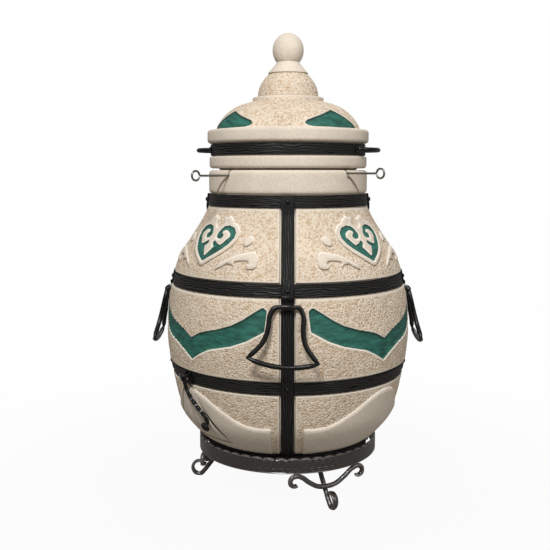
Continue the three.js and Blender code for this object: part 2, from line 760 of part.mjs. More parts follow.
addPiece('hanging_rod_low', hangingRod(lowNotchDepth), brightSteel, rodAzimuths.low);
addPiece('hanging_rod_high', hangingRod(lowNotchDepth - rodBar - gap), brightSteel, rodAzimuths.high);

// Fire grate

function makeGrate() {
  const bottom = baseZ + floorThickness + gap + grateLegs;
  const disc = corner([0, 0], grateRadius, 0, 360, facets / 2).slice(0, -1);
  const inner = grateRadius - grateRimWidth;
  const pitch = grateSlot + grateBarWidth;
  const count = Math.floor((inner - grateSlot) / pitch);
  const level = (outline, from, to) => {
    const plate = new THREE.ExtrudeGeometry(outlineShape(outline), { depth: to - from, bevelEnabled: false });
    return toSolid(plate.translate(0, 0, from));
  };
  const slots = [];
  for (let i = -count; i <= count; i++) {
    const [low, high] = [i * pitch - grateSlot / 2, i * pitch + grateSlot / 2];
    const reach = Math.sqrt(inner * inner - Math.max(Math.abs(low), Math.abs(high)) ** 2);
    const start = grateBarWidth / 2;
    const outline = [[start, low], [reach, low], [reach, high], [start, high]];
    const right = level(outline, bottom - overrun, bottom + overrun);
    slots.push(right, right.rotate([0, 0, 180]));
  }
  const plate = level(disc, bottom, bottom + grateThickness).subtract(wasm.Manifold.union(slots));
  const legRadius = grateRimWidth * grateLegShare;
  const legLength = grateLegs + grateThickness / 2;
  const leg = toSolid(new THREE.CylinderGeometry(legRadius, legRadius * grateTaperShare, legLength, 10)
    .rotateX(Math.PI / 2)).translate([0, 0, bottom - grateLegs / 2 + grateThickness / 4]);
  const legs = grateLegAzimuths.map((angle) => {
    const reach = grateRadius - grateRimWidth / 2;
    return leg.translate([reach * Math.sin(radians(angle)), -reach * Math.cos(radians(angle)), 0]);
  });
  return wasm.Manifold.union([plate, ...legs]);
}

addPiece('fire_grate', makeGrate(), castIron);

// Lid

const padZ = rimZ + gap;
const lowerFlangeZ = padZ + padHeight;
const grooveZ = lowerFlangeZ + lowerFlangeHeight;
const upperFlangeZ = grooveZ + lidGrooveHeight;
const flangeTopZ = upperFlangeZ + upperFlangeHeight;
const domeTopZ = flangeTopZ + domeRise;
const lidTopZ = domeTopZ + topRingHeight;

// The dome's curve: shares of the way in from the flange to the top ring, and of the rise.
const domeShares = [[0, 0], [0.05, 0.19], [0.2, 0.46], [0.4, 0.69], [0.66, 0.87], [1, 1]];

const domeOutline = domeShares.map(([way, rise]) => {
  return [domeRadius + (domeTopRadius - domeRadius) * way, flangeTopZ + rise * domeRise];
});

// A leaf sunk in each quarter of the dome: shares of the quarter and of the dome's rise.
const leafShares = [
  [0.783, 0.03], [0.5, 0.03], [0.278, 0.04], [0.202, 0.144], [0.289, 0.34], [0.378, 0.46], [0.528, 0.665],
  [0.644, 0.446], [0.756, 0.137],
];

// The hollow of the lid, open below and through the vent.
function lidHollow() {
  const round = flangeRound;
  const inside = domeShares.slice(1, -1).map(([way, rise]) => {
    const inner = domeRadius + (ventRadius - domeRadius) * way;
    return [inner - lidWall * (1 - way), flangeTopZ + rise * domeRise - lidWall];
  });
  return revolve([
    [0, padZ - overrun], [padInner, padZ - overrun], [padInner, padZ], [padInner - round, padZ + round],
    [padInner - round, flangeTopZ - lidWall], ...inside, [ventRadius, domeTopZ - lidWall / 2],
    [ventRadius, lidTopZ - round / 2], [ventRadius + round / 2, lidTopZ],
    [ventRadius + round / 2, lidTopZ + overrun], [0, lidTopZ + overrun],
  ], facets / 2);
}

function makeLid() {
  const round = flangeRound;
  const lip = round / 2;
  const outside = [
    [0, padZ], [padOuter, padZ], [padOuter + padHeight, lowerFlangeZ],
    ...corner([lowerFlangeRadius - round, lowerFlangeZ + round], round, 270, 360),
    ...corner([lowerFlangeRadius - lip, grooveZ - lip], lip, 0, 90, 1), [lidGrooveRadius, grooveZ],
    [lidGrooveRadius, upperFlangeZ],
    ...corner([upperFlangeRadius - round, upperFlangeZ + round], round, 270, 360),
    ...corner([upperFlangeRadius - round, flangeTopZ - round], round, 0, 90),
    ...domeOutline, [domeTopRadius, lidTopZ], [0, lidTopZ],
  ];
  return revolve(outside)
    .subtract(ornament(leafShares, domeOutline, -leafDepth * Math.SQRT2, overrun))
    .subtract(lidHollow());
}

const lidHoopZ = grooveZ + lidGrooveHeight / 2;
const lidHoopEnds = [-lidHoopWidth / 2, lidHoopWidth / 2].map((up) => [lidGrooveRadius, lidHoopZ + up]);
const lidHoopFace = lidGrooveRadius + hoopFit;
addPiece('lid', makeLid(), clay, lidTurn);
addPiece('lid_band', hoop(lidHoopEnds), blackSteel, lidTurn);

// Half of a lid handle's bow: shares of its half width and of its bulge.
const lidBowShares = [[1, 0], [0.97, 0.3], [0.8, 0.68], [0.45, 0.94], [0, 1]];

// A bow of round bar in the level plane with a flat foot at each end.
function lidHandle() {
  const angle = radians(lidHandleHalfAngle);
  const footFace = lidHoopFace + gap;
  const foot = sideExtrusion([[footFace, -lidFootWidth / 2], [footFace + lidFootSteel, -lidFootWidth / 2],
    [footFace + lidFootSteel, lidFootWidth / 2], [footFace, lidFootWidth / 2]], lidFootLength);
  const root = footFace + lidFootSteel / 2;
  const half = root * Math.sin(angle);
  const depth = root * Math.cos(angle);
  const bulge = lidHandleReach - depth;
  const side = lidBowShares.map(([across, out]) => {
    return new THREE.Vector3(across * half, -depth - out * bulge, 0);
  });
  const mirror = side.slice(0, -1).reverse().map((point) => new THREE.Vector3(-point.x, point.y, 0));
  const bow = sweep(new THREE.CatmullRomCurve3([...side, ...mirror]), 12, 6, roundBar(lidHandleBar));
  const feet = [-1, 1].map((sign) => foot.rotate([0, 0, sign * lidHandleHalfAngle]));
  const solid = bow.add(feet[0]).add(feet[1]);
  const keepOut = revolve([[0, -overrun], [footFace, -overrun], [footFace, overrun], [0, overrun]]);
  return solid.subtract(keepOut).translate([0, 0, lidHoopZ]);
}

for (const [side, azimuth] of Object.entries(lidHandleAzimuths)) {
  addPiece(`lid_handle_${side}`, lidHandle(), blackSteel, azimuth + lidTurn);
}

// Finial cap

function makeCap() {
  const z = lidTopZ + gap;
  const ballRise = ballRadius * ballStretch;
  const ballZ = z + capHeight - ballRise;
  const spigot = ventRadius - spigotClearance;
  const round = corner([0, 0], ballRadius, ballStart, 90, ballSteps);
  const ball = round.map(([r, up]) => [r, ballZ + up * ballStretch]);
  ball[ballSteps][0] = 0;
  const cone = capConeShares.map(([across, up]) => [across * capSkirtRadius, z + up * capHeight]);
  const profile = [
    [0, z - spigotLength], [spigot - collarRound, z - spigotLength], [spigot, z - spigotLength + collarRound],
    [spigot, z], [capSkirtRadius - collarRound, z], ...cone,
    [capNeckRadius, z + capNeckShare * capHeight], ...ball,
  ];
  return revolve(profile, facets / 2);
}

addPiece('finial_cap', makeCap(), clay, lidTurn);

// Stand

const ringInner = ringRadius - ringThickness;
const spiderTop = baseZ - gap;

function makeRing() {
  const chamfer = ringThickness / 4;
  const top = ringBottom + ringHeight;
  return revolve([
    [ringInner, ringBottom], [ringRadius, ringBottom], [ringRadius, top - chamfer],
    [ringRadius - chamfer, top], [ringInner + chamfer, top], [ringInner, top - chamfer],
  ]);
}

// Three flat arms from one blank, which carry the vessel inside the ring.
function makeSpider() {
  const half = spiderWidth / 2;
  const reach = Math.sqrt((flat(ringInner) - gap) ** 2 - half * half);
  const root = half / Math.sin(Math.PI / 3);
  const points = legAzimuths.flatMap((azimuth) => {
    const a = radians(azimuth);
    const out = [Math.sin(a), -Math.cos(a)];
    const side = [Math.cos(a), Math.sin(a)];
    const fork = [Math.sin(a + Math.PI / 3) * root, -Math.cos(a + Math.PI / 3) * root];
    return [[out[0] * reach - side[0] * half, out[1] * reach - side[1] * half],
      [out[0] * reach + side[0] * half, out[1] * reach + side[1] * half], fork];
  });
  const blank = { depth: spiderThickness, bevelEnabled: false };
  const plate = new THREE.ExtrudeGeometry(outlineShape(points), blank);
  return toSolid(plate.translate(0, 0, spiderTop - spiderThickness));
}

// The leg's centre line in the radius-height plane: under the arm, out past the bow, and the scroll foot.
const legTopZ = spiderTop - spiderThickness - gap;
const bowTopZ = ringBottom - gap - bowBar / 2;
const bowDipZ = bowTopZ - bowDip;
const legSlope = radians(legLean);
const legAtBow = bowReach - ((legBar + bowBar) / 2 + gap * 2) / Math.sin(legSlope);

function makeLeg() {
  const scrollZ = legBar / 2 + scrollRadius - footFlat;
  const onLine = (z) => legAtBow + (bowDipZ - z) / Math.tan(legSlope);
  const scroll = corner([footReach, scrollZ], scrollRadius, scrollStart, scrollEnd, 9);
  const top = onLine(legTopZ - legBar);
  const line = [
    [top, legTopZ], [top, legTopZ - legBar / 2], [onLine(bowDipZ + legBar * 2), bowDipZ + legBar * 2],
    [legAtBow, bowDipZ], [onLine(bowDipZ - legBar), bowDipZ - legBar],
  ];
  const points = [...line, ...scroll].map(([r, z]) => new THREE.Vector3(0, -r, z));
  const bar = sweep(new THREE.CatmullRomCurve3(points, false, 'centripetal'), 20, 6, roundBar(legBar));
  const ground = [[0, -overrun], [footReach * 2, -overrun], [footReach * 2, 0], [0, 0]];
  return bar.subtract(sideExtrusion(ground, overrun));
}

// Half of a bow's dip: shares of its half span and of its rise.
const dipShares = [[0, 0], [0.3, 0.09], [0.6, 0.47], [0.82, 0.85], [1, 1]];

// A bow of round bar under the ring that crosses in front of the leg, its ends curled and hammered flat.
function makeBow() {
  const rise = dipShares.map(([across, up]) => [across * bowHalfSpan, bowDipZ + up * bowDip]);
  const end = corner([bowHalfSpan + curlShift, bowTopZ - bowCurl], bowCurl, curlStart, curlEnd, 6);
  const half = [...rise, ...end];
  const points = [...half.slice(1).map(([x, z]) => [-x, z]).reverse(), ...half];
  const path = points.map(([x, z]) => new THREE.Vector3(x, -bowReach, z));
  const curve = new THREE.CatmullRomCurve3(path, false, 'centripetal');
  const section = (share) => {
    const flattened = (Math.abs(share * 2 - 1) - fishtailShare) / (1 - fishtailShare);
    const blend = THREE.MathUtils.clamp(flattened, 0, 1);
    return {
      wide: THREE.MathUtils.lerp(bowBar, fishtailWidth, blend),
      deep: THREE.MathUtils.lerp(bowBar, fishtailThickness, blend),
    };
  };
  const bar = sweep(curve, 24, 6, section);
  return bar.translate([0, 0, ringBottom - gap - bar.boundingBox().max[2]]);
}

addPiece('stand_ring', makeRing(), forgedSteel);
addPiece('stand_spider', makeSpider(), forgedSteel);
legAzimuths.forEach((azimuth, i) => {
  addPiece(`stand_leg_${i + 1}`, makeLeg(), forgedSteel, azimuth);
  addPiece(`stand_bow_${i + 1}`, makeBow(), forgedSteel, azimuth);
});

export default oven;
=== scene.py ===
import math

import bmesh
import bpy
import numpy as np
from mathutils import Matrix, Vector, noise


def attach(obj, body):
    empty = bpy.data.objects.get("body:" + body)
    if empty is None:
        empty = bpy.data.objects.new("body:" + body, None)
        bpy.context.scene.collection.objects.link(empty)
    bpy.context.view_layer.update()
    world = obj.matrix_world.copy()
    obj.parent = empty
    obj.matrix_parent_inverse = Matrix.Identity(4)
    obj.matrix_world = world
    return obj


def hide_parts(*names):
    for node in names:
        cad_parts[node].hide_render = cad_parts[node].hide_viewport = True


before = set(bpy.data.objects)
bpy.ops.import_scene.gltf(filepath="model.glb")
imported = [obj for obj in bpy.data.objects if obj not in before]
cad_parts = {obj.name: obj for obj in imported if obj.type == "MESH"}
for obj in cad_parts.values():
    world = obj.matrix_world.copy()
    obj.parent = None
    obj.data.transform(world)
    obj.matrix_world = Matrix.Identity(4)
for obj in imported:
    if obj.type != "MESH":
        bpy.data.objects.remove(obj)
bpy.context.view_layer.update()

# Camera at the photograph's place: eye level with the lid's lower edge, about two metres off, looking a
# little down.
camera_spot, camera_dip, camera_turn = (0, -2.130, 0.808), 0.124, 0.01545


def put(name, data):
    """An object for a mesh, a lamp or a camera, in the scene."""
    obj = bpy.data.objects.new(name, data)
    bpy.context.scene.collection.objects.link(obj)
    return obj


camera = put("camera", bpy.data.cameras.new("camera"))
camera.data.sensor_width = 36
camera.data.lens = 54.24
camera.location = camera_spot
camera.rotation_euler = (math.pi / 2 - camera_dip, 0, camera_turn)
bpy.context.scene.camera = camera
bpy.context.scene.view_settings.view_transform = "Standard"


# Studio: a pale floor that runs out into a white background, three soft lamps and an even sky.

floor_radius, floor_drop, lamp_aim = 14, 0.0006, Vector((0, 0, 0.55))


def linear(code):
    """An sRGB hex colour as linear red, green, blue and alpha."""
    parts = [int(code[i:i + 2], 16) / 255 for i in (1, 3, 5)]
    return [c / 12.92 if c <= 0.04045 else ((c + 0.055) / 1.055) ** 2.4 for c in parts] + [1]


def wire(node, inputs):
    """Gives each input a value or an sRGB hex colour, or links it from a socket or from a node's first
    output."""
    for key, value in inputs.items():
        if isinstance(value, bpy.types.Node):
            value = value.outputs[0]
        if isinstance(value, bpy.types.NodeSocket):
            node.id_data.links.new(value, node.inputs[key])
        else:
            node.inputs[key].default_value = linear(value) if isinstance(value, str) else value


def add(tree, kind, inputs=None, **settings):
    """A new node with its settings and its inputs."""
    node = tree.nodes.new(kind)
    for key, value in settings.items():
        setattr(node, key, value)
    wire(node, inputs or {})
    return node


def new_material(name):
    """A material, its node tree and its shader."""
    material = bpy.data.materials.new(name)
    material.use_nodes = True
    return material, material.node_tree, material.node_tree.nodes["Principled BSDF"]


def as_mesh(name, bm):
    mesh = bpy.data.meshes.new(name)
    bm.to_mesh(mesh)
    bm.free()
    return mesh


def seen_directly(tree):
    """1 for what the camera sees, so that the white background lights nothing itself."""
    return add(tree, "ShaderNodeLightPath").outputs["Is Camera Ray"]


world = bpy.data.worlds.new("studio")
bpy.context.scene.world = world
world.use_nodes = True
sky = world.node_tree
sky.nodes.clear()
sky_seen = add(sky, "ShaderNodeBackground", {"Color": "#ffffff", "Strength": 1.0})
sky_light = add(sky, "ShaderNodeBackground", {"Color": "#fbfaf8", "Strength": 0.34})
sky_mix = add(sky, "ShaderNodeMixShader", {0: seen_directly(sky), 1: sky_light, 2: sky_seen})
add(sky, "ShaderNodeOutputWorld", {"Surface": sky_mix})

floor_bm = bmesh.new()
bmesh.ops.create_circle(floor_bm, cap_ends=True, segments=96, radius=floor_radius)
floor = put("studio_floor", as_mesh("studio_floor", floor_bm))
floor.location.z = -floor_drop
floor_paint, paint, _ = new_material("white studio floor")
paint.nodes.clear()
matt = add(paint, "ShaderNodeBsdfDiffuse", {"Color": "#8f8c87"})
glow = add(paint, "ShaderNodeEmission", {"Color": "#fefefe", "Strength": 1.0})
floor_place = add(paint, "ShaderNodeTexCoord").outputs["Object"]
distance = add(paint, "ShaderNodeVectorMath", {0: floor_place}, operation="LENGTH").outputs["Value"]
away = add(paint, "ShaderNodeMapRange", {"Value": distance, "From Min": 0.25, "From Max": 1.3,
                                         "To Min": 0.96, "To Max": 1.0}, interpolation_type="SMOOTHSTEP")
share = add(paint, "ShaderNodeMath", {0: away, 1: seen_directly(paint)}, operation="MULTIPLY")
floor_mix = add(paint, "ShaderNodeMixShader", {0: share, 1: matt, 2: glow})
add(paint, "ShaderNodeOutputMaterial", {"Surface": floor_mix})
floor.data.materials.append(floor_paint)

for lamp_name, spot, width, watts in (
        ("key_lamp", (-0.6, -2.6, 3.1), 0.8, 100), ("fill_lamp", (2.2, -2.3, 2.2), 1.8, 28),
        ("back_lamp", (0.4, 2.6, 2.4), 1.6, 30)):
    lamp_data = bpy.data.lights.new(lamp_name, "AREA")
    lamp_data.shape, lamp_data.size, lamp_data.energy = "DISK", width, watts
    lamp = put(lamp_name, lamp_data)
    lamp.location = spot
    lamp.rotation_euler = (lamp_aim - Vector(spot)).to_track_quat("-Z", "Y").to_euler()


# Clay vessel: fireclay with coarse chamotte, cast in a mould, its ground left rough as stucco and its
# ornament smoothed with slip. The petals stand proud; chevrons and hearts are sunk a little and painted
# green in the mould's outlines. The inside, floor and collar are plain.

base_z, rim_z, collar_z = 104, 812, 754
belly_radius, base_radius, collar_radius, mouth_radius = 310, 204, 200.5, 150
wall, floor_thickness, collar_round = 52, 46, 9
belly_bottom, belly_top = 134.3, 721
hoop_width, steel, gap = 30, 4, 0.3
seat_depth, seat_floor, trough_depth, seat_margin = 5, 6, 5.7, 3
trough_half = hoop_width / 2 + seat_margin
hoop_levels = (318, 542)
door_azimuth = -54
flat_share = math.cos(math.pi / 40)     # a strap lies on the flats of the frame's 40 facets
belly_shares = ((0, 0.665), (0.031, 0.748), (0.108, 0.864), (0.187, 0.918), (0.313, 0.969), (0.374, 0.988),
                (0.463, 1), (0.6, 0.983), (0.694, 0.947), (0.747, 0.924), (0.813, 0.869), (0.869, 0.796),
                (0.948, 0.702), (1, 0.652))
foot_edge, belly_rows, collar_rows = 3, 134, (768, 775, 782, 789, 796)
inner_shares = (0.86, 0.79, 0.72, 0.61, 0.5, 0.39, 0.28, 0.18, 0.09)


def through(points, count, ease=0):
    """Points spaced along a smooth curve through the given ones; an ease of 0.5 suits uneven stretches."""
    points = np.array(points, float)
    times = np.concatenate([[0], np.cumsum(np.linalg.norm(np.diff(points, axis=0), axis=1) ** ease)])
    times = np.concatenate([[-times[1]], times, [2 * times[-1] - times[-2]]])
    ends = (2 * points[0] - points[1], 2 * points[-1] - points[-2]) if ease else (points[0], points[-1])
    points = np.vstack([ends[0], points, ends[1]])
    curve = []
    for t in np.linspace(0, times[-2], count):
        i = min(int(np.searchsorted(times[1:-1], t, side="right")) - 1, len(times) - 4)
        ts, level = times[i:i + 4], points[i:i + 4]
        for spans in (((0, 1), (1, 2), (2, 3)), ((0, 2), (1, 3)), ((1, 2),)):
            level = [level[k] * (ts[b] - t) / (ts[b] - ts[a]) + level[k + 1] * (t - ts[a]) / (ts[b] - ts[a])
                     for k, (a, b) in enumerate(spans)]
        curve.append(level[0])
    return np.array(curve)


belly_line = through([(share * belly_radius, belly_bottom + rise * (belly_top - belly_bottom))
                      for rise, share in belly_shares], 400)


def belly_at(z):
    return np.interp(z, belly_line[:, 1], belly_line[:, 0])


def arc(centre, radius, start, end, steps):
    """Points round a corner, from one angle to another."""
    return [(centre[0] + radius * math.cos(a), centre[1] + radius * math.sin(a))
            for a in np.radians(np.linspace(start, end, steps + 1))]


def vessel_profile():
    """Radius and height round the wall: foot, belly with the hoops' seats, collar, mouth, and down the
    inside."""
    half = trough_half
    rows = [(0, base_z), (120, base_z), (base_radius - foot_edge, base_z), (base_radius, base_z + foot_edge),
            (base_radius, belly_bottom)]
    for z in np.linspace(belly_bottom + 0.6, belly_top, belly_rows):
        if not any(abs(z - level) < half + 1.5 for level in hoop_levels):
            rows.append((float(belly_at(z)), float(z)))
    for level in hoop_levels:
        start = next(i for i, row in enumerate(rows) if row[1] > level)
        rows[start:start] = [(belly_at(level + up) - deep, level + up) for up, deep in (
            (-half - 1, 0), (-half, 1), (-half + 0.4, seat_floor),
            (half - 0.4, seat_floor), (half, 1), (half + 1, 0))]
    neck = collar_radius - gap
    rows += [(neck, belly_top + 0.5), (neck - steel, collar_z)]
    rows += arc((collar_radius - collar_round, collar_z + collar_round), collar_round, -80, 0, 3)
    rows += [(collar_radius, z) for z in collar_rows]
    rows += arc((collar_radius - collar_round, rim_z - collar_round), collar_round, 0, 90, 5)
    rows += arc((mouth_radius + collar_round, rim_z - collar_round), collar_round, 90, 180, 4)
    heights = [belly_bottom + share * (belly_top - belly_bottom) for share in inner_shares]
    inside = [(belly_at(z) - wall, z) for z in heights]
    floor_rows = [(r, base_z + floor_thickness) for r in (inside[-1][0] - wall / 2, 60, 0)]
    return rows + [(mouth_radius, collar_z)] + inside + floor_rows


def verts_of(geom):
    return [g for g in geom if isinstance(g, bmesh.types.BMVert)]


def turn(bm, azimuth, verts=None):
    """Turns a mesh, or some of its points, about the oven's axis."""
    matrix = Matrix.Rotation(math.radians(azimuth), 3, "Z")
    bmesh.ops.rotate(bm, cent=(0, 0, 0), matrix=matrix, verts=verts or bm.verts)


def outward(bm):
    """The mesh, its faces turned outward."""
    bmesh.ops.recalc_face_normals(bm, faces=bm.faces)
    return bm


def spin(rows, steps, closed=False):
    """A mesh made by turning rows of radius and height about the oven's axis: an eighth is spun, then
    doubled."""
    bm = bmesh.new()
    verts = [bm.verts.new((0, -r, z)) for r, z in rows]
    edges = [bm.edges.new(pair) for pair in zip(verts, verts[1:])]
    if closed:
        edges.append(bm.edges.new((verts[-1], verts[0])))
    bmesh.ops.spin(bm, geom=verts + edges, cent=(0, 0, 0), axis=(0, 0, 1), angle=math.pi / 4,
                   steps=steps // 8, use_merge=False, use_duplicate=False)
    for azimuth in (45, 90, 180):
        copied = bmesh.ops.duplicate(bm, geom=bm.verts[:] + bm.edges[:] + bm.faces[:])["geom"]
        turn(bm, azimuth, verts_of(copied))
    bmesh.ops.remove_doubles(bm, verts=bm.verts, dist=0.01)
    return outward(bm)


def inside_mm(x, y, outline):
    """How far each point lies inside a closed outline, less than nothing outside it."""
    outline = np.array(outline, float)
    nearest = np.full(len(x), 1e9)
    within = np.zeros(len(x), bool)
    for (ax, ay), (bx, by) in zip(outline, np.roll(outline, -1, axis=0)):
        dx, dy = bx - ax, by - ay
        t = np.clip(((x - ax) * dx + (y - ay) * dy) / (dx * dx + dy * dy + 1e-9), 0, 1)
        nearest = np.minimum(nearest, np.hypot(x - ax - t * dx, y - ay - t * dy))
        crosses = ((ay > y) != (by > y)) & (x < dx * (y - ay) / (dy if dy else 1e-9) + ax)
        within ^= crosses
    return np.where(within, nearest, -nearest)


def ramp(value, low, high):
    t = np.clip((value - low) / (high - low), 0, 1)
    return t * t * (3 - 2 * t)


# The ornament repeats in each quarter and mirrors at every strap, so it is drawn once: degrees from a
# strap, and height.
petal_outline = ((9.4, 100), (9, 150), (7.9, 204), (7.8, 217), (15.8, 217), (20, 221), (24.5, 229),
                 (33.4, 253), (39, 270), (44, 283), (48, 289.5), (52.4, 292), (56.5, 290.5), (60.1, 286),
                 (64.5, 271), (68.4, 252), (72, 236), (76, 222), (82.2, 217), (82.1, 204), (81, 150),
                 (80.6, 100))
chevron_outline = ((10.7, 505), (15, 491), (19.5, 475), (24.5, 461), (31.9, 448), (37, 442), (41.7, 435),
                   (47.3, 420), (53, 435), (58, 443), (63, 449), (70, 462), (75, 475), (79.5, 491),
                   (81.8, 505), (83, 498), (82.6, 451), (76.5, 427), (69.8, 413), (58.5, 399),
                   (52.8, 386), (47.3, 368), (41.7, 385), (36.1, 399), (24.7, 413), (17.8, 427),
                   (9.8, 451), (8.9, 498))
ornament_radius = 295
petal_rise, chevron_rise, chevron_sink, hull_rise, heart_sink, leaf_rise = 4.6, 1.2, 4.2, 3.6, 3.2, 4.4
hull_border, shadow_reach, far = 11, 3.2, 20

# A heart's left half in millimetres from its tip: the green line that curls in at the top, round a pale
# fleur.
heart_azimuth, heart_tip, heart_slope = 46.8, 600, 1.17
heart_half = ((0, -1), (-27.8, 18.6), (-46.7, 34.2), (-59.7, 50), (-65.5, 63), (-64.7, 77), (-54, 90),
              (-36, 96.5), (-21, 92.5), (-13.6, 83.3), (-10, 73), (-9.6, 66.1), (-16.3, 61), (-26.6, 60),
              (-32, 65.8), (-30.4, 72), (-22.7, 75.4), (-23.8, 80), (-31, 84), (-41.5, 81), (-49, 74.3),
              (-53, 65.4), (-46.5, 59), (-41, 50.5), (-34, 43.1), (-23.7, 47.5), (-10, 56), (-7.6, 47.5),
              (-16.6, 38.5), (-12.2, 31.1), (-6.6, 21.7), (0, 12))
heart_hull = heart_half[:9] + ((-10, 82), (0, 76))
leaf_half = ((-153, 13), (-139, 31.7), (-129.4, 31.5), (-117.5, 28), (-102, 24), (-87.6, 17.5),
             (-75.5, 9), (-57.6, -4), (-46, -21), (-66, -10.5), (-78.4, -1), (-91.8, -3), (-101.5, -11),
             (-95.5, 5), (-111.9, 7.8), (-126.1, 8.5), (-135.6, 4), (-129.4, -5.1), (-133.9, -12.8),
             (-147.5, -13), (-156, -7))
drop_half = ((-119.4, 60.6), (-109.9, 72.2), (-102.7, 69), (-95.7, 59.8), (-96.4, 48.4), (-107, 44.3),
             (-117.5, 51.6))
crown_half = ((-9, 110), (-15, 102), (-27, 106), (-42, 106), (-44, 111), (-33, 119), (-25, 124),
              (-20, 118), (-12, 119))


def mirrored(half):
    return list(half) + [(-x, y) for x, y in reversed(half)]


def polar(co):
    """Each point's distance from the oven's axis and its azimuth."""
    return np.hypot(co[:, 0], co[:, 1]), np.degrees(np.arctan2(co[:, 0], -co[:, 1]))


def to_quarter(azimuth):
    within = np.abs((azimuth + 180) % 360 - 180)
    return np.where(within > 90, 180 - within, within)


def vessel_shapes(quarter, z):
    """How far points lie inside the petals, chevrons, hearts, the hearts' hulls and the leaves round
    them."""
    across = np.radians(quarter) * ornament_radius
    petal, chevron = (inside_mm(across, z, [(math.radians(a) * ornament_radius, h) for a, h in line])
                      for line in (petal_outline, chevron_outline))
    x = np.abs(np.radians(quarter - heart_azimuth)) * -belly_at(z)
    y = (z - heart_tip) * heart_slope
    heart, hull = inside_mm(x, y, mirrored(heart_half)), inside_mm(x, y, mirrored(heart_hull))
    pale = np.max([inside_mm(x, y, half) for half in (leaf_half, drop_half, crown_half)], 0)
    return petal, chevron, heart, hull, pale


def vessel_ornament(co):
    """The relief's height at each point, and how far it lies inside the smoothed clay, the green and the
    raised shapes. For the last two it is also taken from a little higher, which places the painted shadow and
    highlight lines along their edges."""
    z = co[:, 2]
    radius, azimuth = polar(co)
    quarter = to_quarter(azimuth)
    here, above = vessel_shapes(quarter, z), vessel_shapes(quarter, z + shadow_reach)
    petal, chevron, heart, hull, leaves = here
    outside = (radius > belly_at(z) - 12) & (z > belly_bottom + 0.1) & (z < belly_top)
    height = petal_rise * ramp(petal, -1, 6)
    height += chevron_rise * ramp(chevron, -7, -4) - chevron_sink * ramp(chevron, -1, 2)
    height += hull_rise * ramp(hull + hull_border, -1.5, 3) - heart_sink * ramp(heart, -1, 1.5)
    height += leaf_rise * ramp(leaves, -2, 3.5)
    lateral = np.radians(np.minimum(quarter, 90 - quarter)) * radius
    strap = trough_half + 5 - lateral
    bands = np.max([trough_half + 4.5 - np.abs(z - level) for level in hoop_levels], axis=0)
    ends = np.maximum(z - (belly_top - 4), belly_bottom + 5 - z)
    smooth = np.max([petal, chevron + 3.5, hull + hull_border, leaves, strap, bands, ends], axis=0)
    fields = [np.where(outside, smooth, np.where(z > belly_top, far, -far))]
    for petal, chevron, heart, hull, leaves in (here, above):
        fields += [np.where(outside, np.maximum(chevron, heart), -far),
                   np.where(outside, np.max([petal, hull + hull_border, leaves], axis=0), -far)]
    return height * outside, *fields


def read_points(bm_or_mesh):
    verts = bm_or_mesh.verts if isinstance(bm_or_mesh, bmesh.types.BMesh) else bm_or_mesh.vertices
    return np.array([v.co for v in verts], float)


def bumpy(co, size, seed):
    """Even lumps of about the given size, from -1 to 1."""
    shift = Vector((seed, 2 * seed, 3 * seed))
    return np.array([noise.noise(Vector(p) / size + shift) for p in co])


columns, trough_columns, eased_columns, trough_edge = 480, 5, 16, 1.2


def put_points(bm, points):
    for vert, point in zip(bm.verts, points):
        vert.co = point


def from_polar(radius, azimuth, z):
    return np.column_stack([radius * np.sin(np.radians(azimuth)), -radius * np.cos(np.radians(azimuth)), z])


def shape_vessel(bm):
    """Lines the columns up with the strap troughs, sinks those, and raises the ornament and the stucco."""
    co = read_points(bm)
    z = co[:, 2]
    radius, azimuth = polar(co)
    on_belly = (z > belly_bottom - 0.1) & (z <= belly_top + 6) & (radius > belly_at(z) - 12)
    column = np.round(((azimuth + 45) % 90 - 45) / (360 / columns))
    nearest = azimuth - column * (360 / columns)
    side, k = np.sign(column), np.abs(column)
    even = 2 * math.pi * radius / columns * eased_columns
    start = trough_half + trough_edge
    lateral = np.where(k <= trough_columns, trough_half * k / trough_columns,
                       start + (even - start) * (k - trough_columns - 1)
                       / (eased_columns - trough_columns - 1))
    moved = nearest + side * np.degrees(np.arcsin(np.clip(lateral / np.maximum(radius, 1), -1, 1)))
    azimuth = np.where(on_belly & (k <= eased_columns), moved, azimuth)
    height, smooth, *_ = vessel_ornament(from_polar(radius, azimuth, z))
    stucco = (bumpy(co, 7, 1) * 0.55 + bumpy(co, 22, 2) * 0.5) * ramp(-smooth, -2, 3) * on_belly
    depth = np.minimum(radius, flat_share * (belly_at(z) - trough_depth))
    radius = np.where(on_belly & (k <= trough_columns), np.hypot(depth, lateral), radius + height + stucco)
    put_points(bm, from_polar(radius, azimuth, z))


door_sill, door_height, door_half = 160, 144, 88
arch_shares = ((1, 0), (0.985, 0.17), (0.87, 0.35), (0.67, 0.53), (0.5, 0.69), (0.36, 0.82), (0.19, 0.94),
               (0, 1))
door_slit, door_proud = 2, 4.4
worn_edge = ((0, 0), (0.1, 5), (0.28, 13), (0.42, 12), (0.6, 6), (0.8, 1), (1, 0))


def arch(inset, count):
    """The right half of the door's arch, from the sill up, as across and height."""
    return through([(a * (door_half - inset), door_sill + up * (door_height - inset))
                    for a, up in arch_shares], count)


def prism(outline, start, end, azimuth):
    """A cutter: an outline of across and height, drawn out from one distance to another along an
    azimuth."""
    bm = bmesh.new()
    face = bm.faces.new([bm.verts.new((x, -start, z)) for x, z in outline])
    pushed = bmesh.ops.extrude_face_region(bm, geom=[face])["geom"]
    bmesh.ops.translate(bm, vec=(0, start - end, 0), verts=verts_of(pushed))
    turn(bm, azimuth)
    return outward(bm)


def joined(parts):
    whole = bmesh.new()
    for part in parts:
        mesh = as_mesh("part", part)
        whole.from_mesh(mesh)
        bpy.data.meshes.remove(mesh)
    return whole


